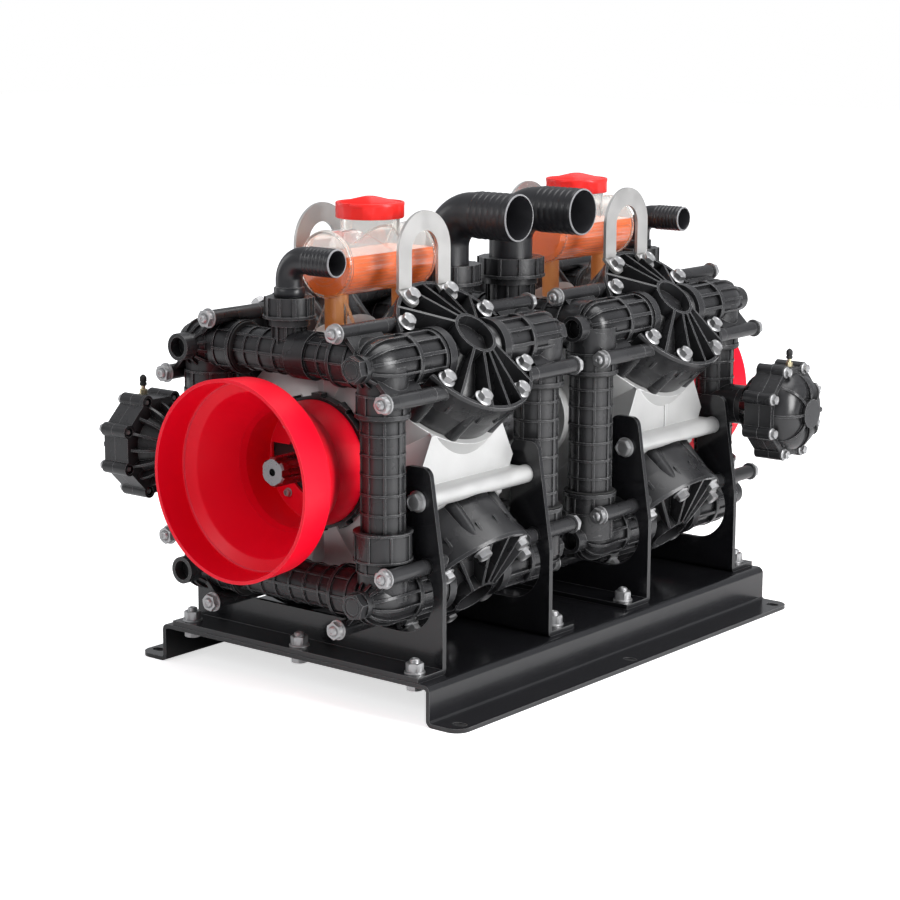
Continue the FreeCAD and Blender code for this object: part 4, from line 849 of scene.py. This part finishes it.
def bar(outline, width, angle):
    """A flat bar: an outline of (radius, height) points, given a width and turned about the axis."""
    sides = [[Vector((r, y, h)) for r, h in outline] for y in (-width / 2, width / 2)]
    shape = skin(sides)
    bmesh.ops.bevel(shape, geom=shape.edges[:], offset=0.35, segments=1, affect="EDGES")
    shape.transform(Matrix.Rotation(math.radians(angle), 4, "Z"))
    return shape


def joined_shapes(shapes):
    """Several shapes as one."""
    whole = bmesh.new()
    mesh = bpy.data.meshes.new("scratch")
    for shape in shapes:
        shape.to_mesh(mesh)
        whole.from_mesh(mesh)
        shape.free()
    bpy.data.meshes.remove(mesh)
    return whole


print("bars on a barrel:", bar_count, "fins on a dome:", fin_count)

# %% [markdown]
# A fin follows the dome from the barrel's end to the hub. The dome's curve is not a circle, so the fin's top
# edge is a curve with one pull point, set out from the straight line between its ends.

# %% Ribs of an elbow


def fin_outline(plane, high):
    """The top edge of a fin over the dome: along the cylinder, round the dome and down to the hub."""
    start, end = Vector((dome_radius + high, plane)), Vector((boss_radius + 0.4, boss_start + high))
    middle = Vector(((dome_radius + boss_radius) / 2 + 2.8, (plane + boss_start) / 2 + 2.8))
    middle += Vector((high, high)) * math.sqrt(0.5)
    pull = 2 * middle - (start + end) / 2
    points = [(boss_radius - 2, barrel_end + 1), (dome_radius + high, barrel_end + 1)]
    for i in range(9):
        t = i / 8
        points.append(tuple((1 - t) ** 2 * start + 2 * t * (1 - t) * pull + t ** 2 * end))
    points.append((boss_radius - 2, boss_start))
    return points


def elbow_ribs(plane):
    """Bars, rings and fins of one elbow, about its barrel's axis."""
    near, far = barrel_start, barrel_end
    rings = [lathe([(26, near), (30.8, near), (31.2, near + 0.4), (31.2, near + 4.8), (30.8, near + 5.2),
                    (26, near + 5.2)], closed=True),
             lathe([(26, far - 5), (31.3, far - 5), (32.0, far - 4.3), (32.0, far + 0.8), (31.3, far + 1.5),
                    (26, far + 1.5)], closed=True)]
    edge = [(25, near + 3), (31.1, near + 3), (31.1, far - 3), (25, far - 3)]
    bars = [bar(edge, 4.2, (i + 0.5) * 360 / bar_count) for i in range(bar_count)]
    fins = [bar(fin_outline(plane, 3.4), 3.2, (i + 0.5) * 360 / fin_count) for i in range(fin_count)]
    return joined_shapes(rings + bars + fins)


print("a fin's edge has", len(fin_outline(delivery_plane, 3.4)), "points")

# %% Ribs and seals of a socket
socket_start = 31.0


def socket_ribs(pipe_radius):
    """Bars and a ring of a pipe socket, about the pipe's axis."""
    out = pipe_radius + socket_wall
    low, high = socket_start, socket_reach - socket_ring
    ring_shape = lathe([(out - 1, low), (out + 1.3, low), (out + 1.6, low + 0.3), (out + 1.6, low + 2.3),
                        (out + 1.3, low + 2.6), (out - 1, low + 2.6)], closed=True)
    edge = [(out - 1, low + 1), (out + 1.6, low + 1), (out + 1.6, high), (out - 1, high)]
    bars = [bar(edge, 2.8, i * 45) for i in range(8)]
    return joined_shapes([ring_shape] + bars)


def pipe_seal(pipe_radius):
    """The rubber ring in the mouth of a socket."""
    low = socket_reach + 0.02
    inside, shoulder, outside = pipe_radius + 0.2, pipe_radius + 5.2, pipe_radius + 5.9
    return lathe([(inside, low), (shoulder, low), (outside, low + 0.7), (outside, low + 1.5),
                  (shoulder, low + 2.2), (inside, low + 2.2)], closed=True)


print("a socket reaches from", socket_start, "to", socket_reach, "mm")

# %% Ribs of the union
union_radius = 32.5
union_low, union_high = -88.0, -54.0


def union_ribs(radius, length):
    """Bars and end rings of the union on the right delivery pipe, standing on its lower end."""
    out = radius + 1.6
    shapes = []
    for low in (0.05, length - 2.85):
        shapes.append(lathe([(radius - 1, low), (out - 0.3, low), (out, low + 0.3), (out, low + 2.5),
                             (out - 0.3, low + 2.8), (radius - 1, low + 2.8)], closed=True))
    edge = [(radius - 1, 1), (out - 0.2, 1), (out - 0.2, length - 1), (radius - 1, length - 1)]
    shapes += [bar(edge, 2.8, i * 45 + 12) for i in range(8)]
    return joined_shapes(shapes)


union_foot = Matrix.Translation((corner_offset, -delivery_plane, union_low))
union_places = [stand(pump) @ union_foot for pump in pumps]
piece("union_ribs", union_ribs(union_radius, union_high - union_low), union_places, "black_plastic")

# %% Place the ribs and seals
for name, half_turn, plane, pipe_radius in manifolds:
    elbow_places = []
    socket_places = []
    for pump in pumps:
        for degrees in quarter_turns:
            corner = stand(pump) @ Matrix.Rotation(half_turn, 4, "Z") @ about_y(degrees)
            elbow_places.append(corner @ aimed((corner_offset, 0, corner_offset), (0, -1, 0)))
            for direction in ((-1, 0, 0), (0, 0, -1)):
                socket_places.append(corner @ aimed((corner_offset, -plane, corner_offset), direction))
    piece(name + "_elbow_ribs", elbow_ribs(plane), elbow_places, "black_plastic")
    piece(name + "_socket_ribs", socket_ribs(pipe_radius), socket_places, "black_plastic")
    piece(name + "_pipe_seals", pipe_seal(pipe_radius), socket_places, "seal_rubber")

# %% [markdown]
# ## Filler caps
# The cap is a cup turned upside down: a skirt with shallow finger grips, a raised rim, a sunken top and a bow
# across it for the hand. The bow could be a bent box, but its sides are hollow, so it is lofted from
# cross-sections that swell towards its middle.

# %% Cup of the cap
cap_radius = 40.5
cap_bore = 35.4
cap_low, cap_top, grip_top = 279.5, 298.0, 305.0
tank_x, tank_neck_y = 10.0, -14.4
grip_turn = 38.0


def gripped(radius, height, depth, count=10):
    """A ring with shallow finger grips."""
    points = []
    for i in range(ring_points * 3):
        angle = 2 * math.pi * i / (ring_points * 3)
        dip = max(0.0, math.cos(angle * count)) ** 0.6
        reach = radius - depth * dip
        points.append(Vector((reach * math.cos(angle), reach * math.sin(angle), height)))
    return points


def filler_cap():
    """The cup, drawn about its own axis, at its height over the shaft."""
    rings = [gripped(cap_radius - 1.0, cap_low, 0.6), gripped(cap_radius - 0.2, cap_low + 0.8, 0.7),
             gripped(cap_radius - 0.2, cap_top - 5.0, 0.9), gripped(cap_radius, cap_top - 4.0, 0.1),
             gripped(cap_radius, cap_top - 0.8, 0.1), gripped(cap_radius - 0.8, cap_top, 0),
             gripped(cap_radius - 2.6, cap_top, 0), gripped(cap_radius - 3.4, cap_top - 0.8, 0),
             gripped(cap_radius - 4.0, cap_top - 4.2, 0), gripped(cap_radius - 5.0, cap_top - 5.0, 0),
             gripped(1.0, cap_top - 5.0, 0), gripped(1.0, cap_top - 7.0, 0),
             gripped(cap_bore, cap_top - 7.0, 0), gripped(cap_bore, cap_low, 0)]
    return skin(rings, closed=True)


print("the cap stands from", cap_low, "to", grip_top, "mm over the shaft")

# %% Bow of the cap
bow_half = 12    # stations from an end of the bow to its middle


def grip_bow():
    """The bow: stations along X, each a rounded cross-section, hollow towards its foot."""
    stations = []
    for i in range(2 * bow_half + 1):
        u = -1 + i / bow_half
        x = u * (cap_radius - 3.4)
        rise = (1 - abs(u)) ** 0.85
        top = cap_top - 1.2 + (grip_top - cap_top + 1.0) * min(1.0, rise * 1.12)
        foot = cap_top - 5.4
        half_top = 1.6 + 2.6 * rise
        half_foot = 4.0 + 7.0 * rise
        section = []
        for t in (-1, -0.8, -0.45, 0.0, 0.45, 0.8, 1):
            across = t * half_foot if abs(t) == 1 else t * half_top / 0.8
            height = foot if abs(t) == 1 else top - 0.6 * (t / 0.8) ** 2
            section.append(Vector((x, across, height)))
        stations.append(section)
    return skin(stations)


for pump in pumps:
    place = stand(pump) @ Matrix.Translation((tank_x, tank_neck_y, 0))
    turned = place @ Matrix.Rotation(math.radians(grip_turn), 4, "Z")
    body = pump + "_filler_cap"
    piece(pump + "_cap", filler_cap(), [place], "red_cap", body=body, replaced=[body], sharp=50)
    piece(pump + "_cap_bow", grip_bow(), [turned], "red_cap", body=body, sharp=50)

# %% [markdown]
# ## Oil
# The tanks are clear and a little over half full of orange oil, which also stands in their legs. A painted
# lower half would show no surface, so the oil is a body of its own: the inside of the tank, cut by a level
# plane. It reaches a hair into the wall, so that no thin film of air is left between oil and plastic, which
# would mirror like silver.

# %% Oil in the tanks
tank_z, tank_bore = 231.0, 35.0
tank_low, tank_high = -100.5, 65.5
tank_wall = 3.0
oil_level = 10.25


def oil_body():
    """The inside of a tank, with its domed front, up to the level of the oil."""
    depth, bore = 6.5, tank_bore + 0.05
    ball = (bore ** 2 + depth ** 2) / (2 * depth)
    front = [(r, ball - math.sqrt(ball ** 2 - r ** 2)) for r in (1.0, 8.0, 16.0, 22.0, 28.0, 32.0, bore)]
    length = tank_high - tank_low - 2 * tank_wall
    shape = lathe([(r, h - 0.03) for r, h in front] + [(bore, length - 4.0), (bore - 4.0, length + 0.03)])
    # the turned shape stands along +Z and is laid along +Y, from the front of the tank's hollow
    front_middle = Matrix.Translation((tank_x, tank_low + tank_wall, tank_z))
    shape.transform(front_middle @ Matrix.Rotation(-math.pi / 2, 4, "X"))
    everything = shape.verts[:] + shape.edges[:] + shape.faces[:]
    cut = bmesh.ops.bisect_plane(shape, geom=everything, plane_co=(0, 0, tank_z + oil_level),
                                 plane_no=(0, 0, 1), clear_outer=True)
    rim = [e for e in cut["geom_cut"] if isinstance(e, bmesh.types.BMEdge)]
    bmesh.ops.contextual_create(shape, geom=rim)
    return shape


oil = oil_body()
print("oil stands", tank_bore + oil_level, "mm deep")

# %% Oil in the legs
leg_low, leg_high = 147.0, 209.4
legs = (("front", -74.0, 10.5), ("rear", 41.0, 8.0))


def oil_leg(radius):
    """The oil in one leg, about the leg's axis."""
    return lathe([(radius - 0.4, leg_low), (radius, leg_low + 0.4), (radius, leg_high - 0.4),
                  (radius - 0.4, leg_high)])


for pump in pumps:
    piece(pump + "_oil", oil, [stand(pump)], "oil")
    for name, y, radius in legs:
        place = stand(pump) @ Matrix.Translation((tank_x, y, 0))
        piece("%s_oil_in_%s_leg" % (pump, name), oil_leg(radius), [place], "thin_oil")

# %% [markdown]
# The ends of a tank are welded on, which leaves a low, rounded bead round it near each end.

# %% Tank seams
seam_radius = tank_bore + tank_wall
seam = lathe([(seam_radius - 0.5, -1.6), (seam_radius + 0.7, -1.4), (seam_radius + 1.1, -0.6),
              (seam_radius + 1.1, 0.6), (seam_radius + 0.7, 1.4), (seam_radius - 0.5, 1.6)], closed=True)
seam_places = []
for pump in pumps:
    for y in (tank_low + 9.0, tank_high - 7.0):
        seam_places.append(stand(pump) @ aimed((tank_x, y, tank_z), (0, 1, 0)))
piece("tank_seams", seam, seam_places, "clear_plastic")

# %% [markdown]
# ## Air valves
# The accumulator is charged through a small valve: a pale brass hexagon screwed into the boss, a thin stem,
# and a knurled black cap. The knurls are real ridges, lofted ring by ring with every second pair of points
# pulled in.

# %% Air valves
valve_foot = 58.5
valve_out = 247.0


def knurled(radius, height, depth=0.35):
    """A ring with knurls."""
    points = ring(radius, height)
    for i, point in enumerate(points):
        if i % 4 < 2:
            point.xy = point.xy * (1 - depth / radius)
    return points


valve_seat = aimed((-valve_out, -delivery_plane, valve_foot), (0, 0, 1), 10)
valve_places = [stand(pump) @ valve_seat for pump in pumps]
hexagon = skin([ring(8.4, 0, 8.4), chamfered(8.4, 6.0, 1), ring(3.8, 6.0), ring(2.6, 6.2), ring(2.6, 10.6)])
piece("air_valve_feet", hexagon, valve_places, "brass", replaced=["air_valves"])
cap = skin([ring(3.4, 10.2), knurled(4.3, 10.8), knurled(4.3, 13.6), ring(3.6, 14.2), ring(3.6, 15.0),
            knurled(4.3, 15.6), knurled(4.3, 20.0), ring(3.6, 21.4), ring(2.4, 22.6), ring(1.4, 23.6)])
piece("air_valve_caps", cap, valve_places, "seal_rubber")

# %% [markdown]
# ## Shoulders of the shields
# Inside each shield the wide rim steps down to the cone over a flat shoulder, which catches the light as a
# pale band, and the cone runs straight from it to the neck. The ring below lines the solid model with that
# form.

# %% Shield shoulders
rim_foot = [(110.9, 210.4), (109.75, 209.6), (108.7, 207.4), (107.6, 206.6)]
flat_and_cone = [(97.2, 201.8), (95.9, 201.0), (95.0, 199.4), (73.1, 152.3)]
behind = [(74.6, 151.8), (101.0, 196.6), (106.0, 203.6)]
shoulder = lathe(rim_foot + flat_and_cone + behind, closed=True)
shoulder_places = [stand(pump) @ aimed((0, 0, 0), (0, -1, 0)) for pump in pumps]
piece("shield_shoulders", shoulder, shoulder_places, "red_plastic", sharp=30)

# %% [markdown]
# ## Screws of the shields
# Four cap screws hold each shield to its bearing cover, through the pads that are left between the gaps of
# its foot. The pads stand 45 degrees off the gaps. Each screw has a washer and a hexagon socket.

# %% Shield screws
pad_face, screw_circle = 104.0, 57.0
screw_places = []
for pump in pumps:
    for degrees in head_turns:
        seat = aimed((0, -pad_face, screw_circle), (0, -1, 0), degrees)
        screw_places.append(stand(pump) @ about_y(degrees) @ seat)
screw = skin([ring(5.2, 0), ring(5.6, 0.4), ring(5.6, 0.9), ring(4.4, 1.0), ring(4.4, 4.2), ring(3.9, 4.8),
              ring(2.9, 4.8, 5.0), ring(2.9, 2.6, 5.0)])
piece("shield_screws", screw, screw_places, "zinc_steel")
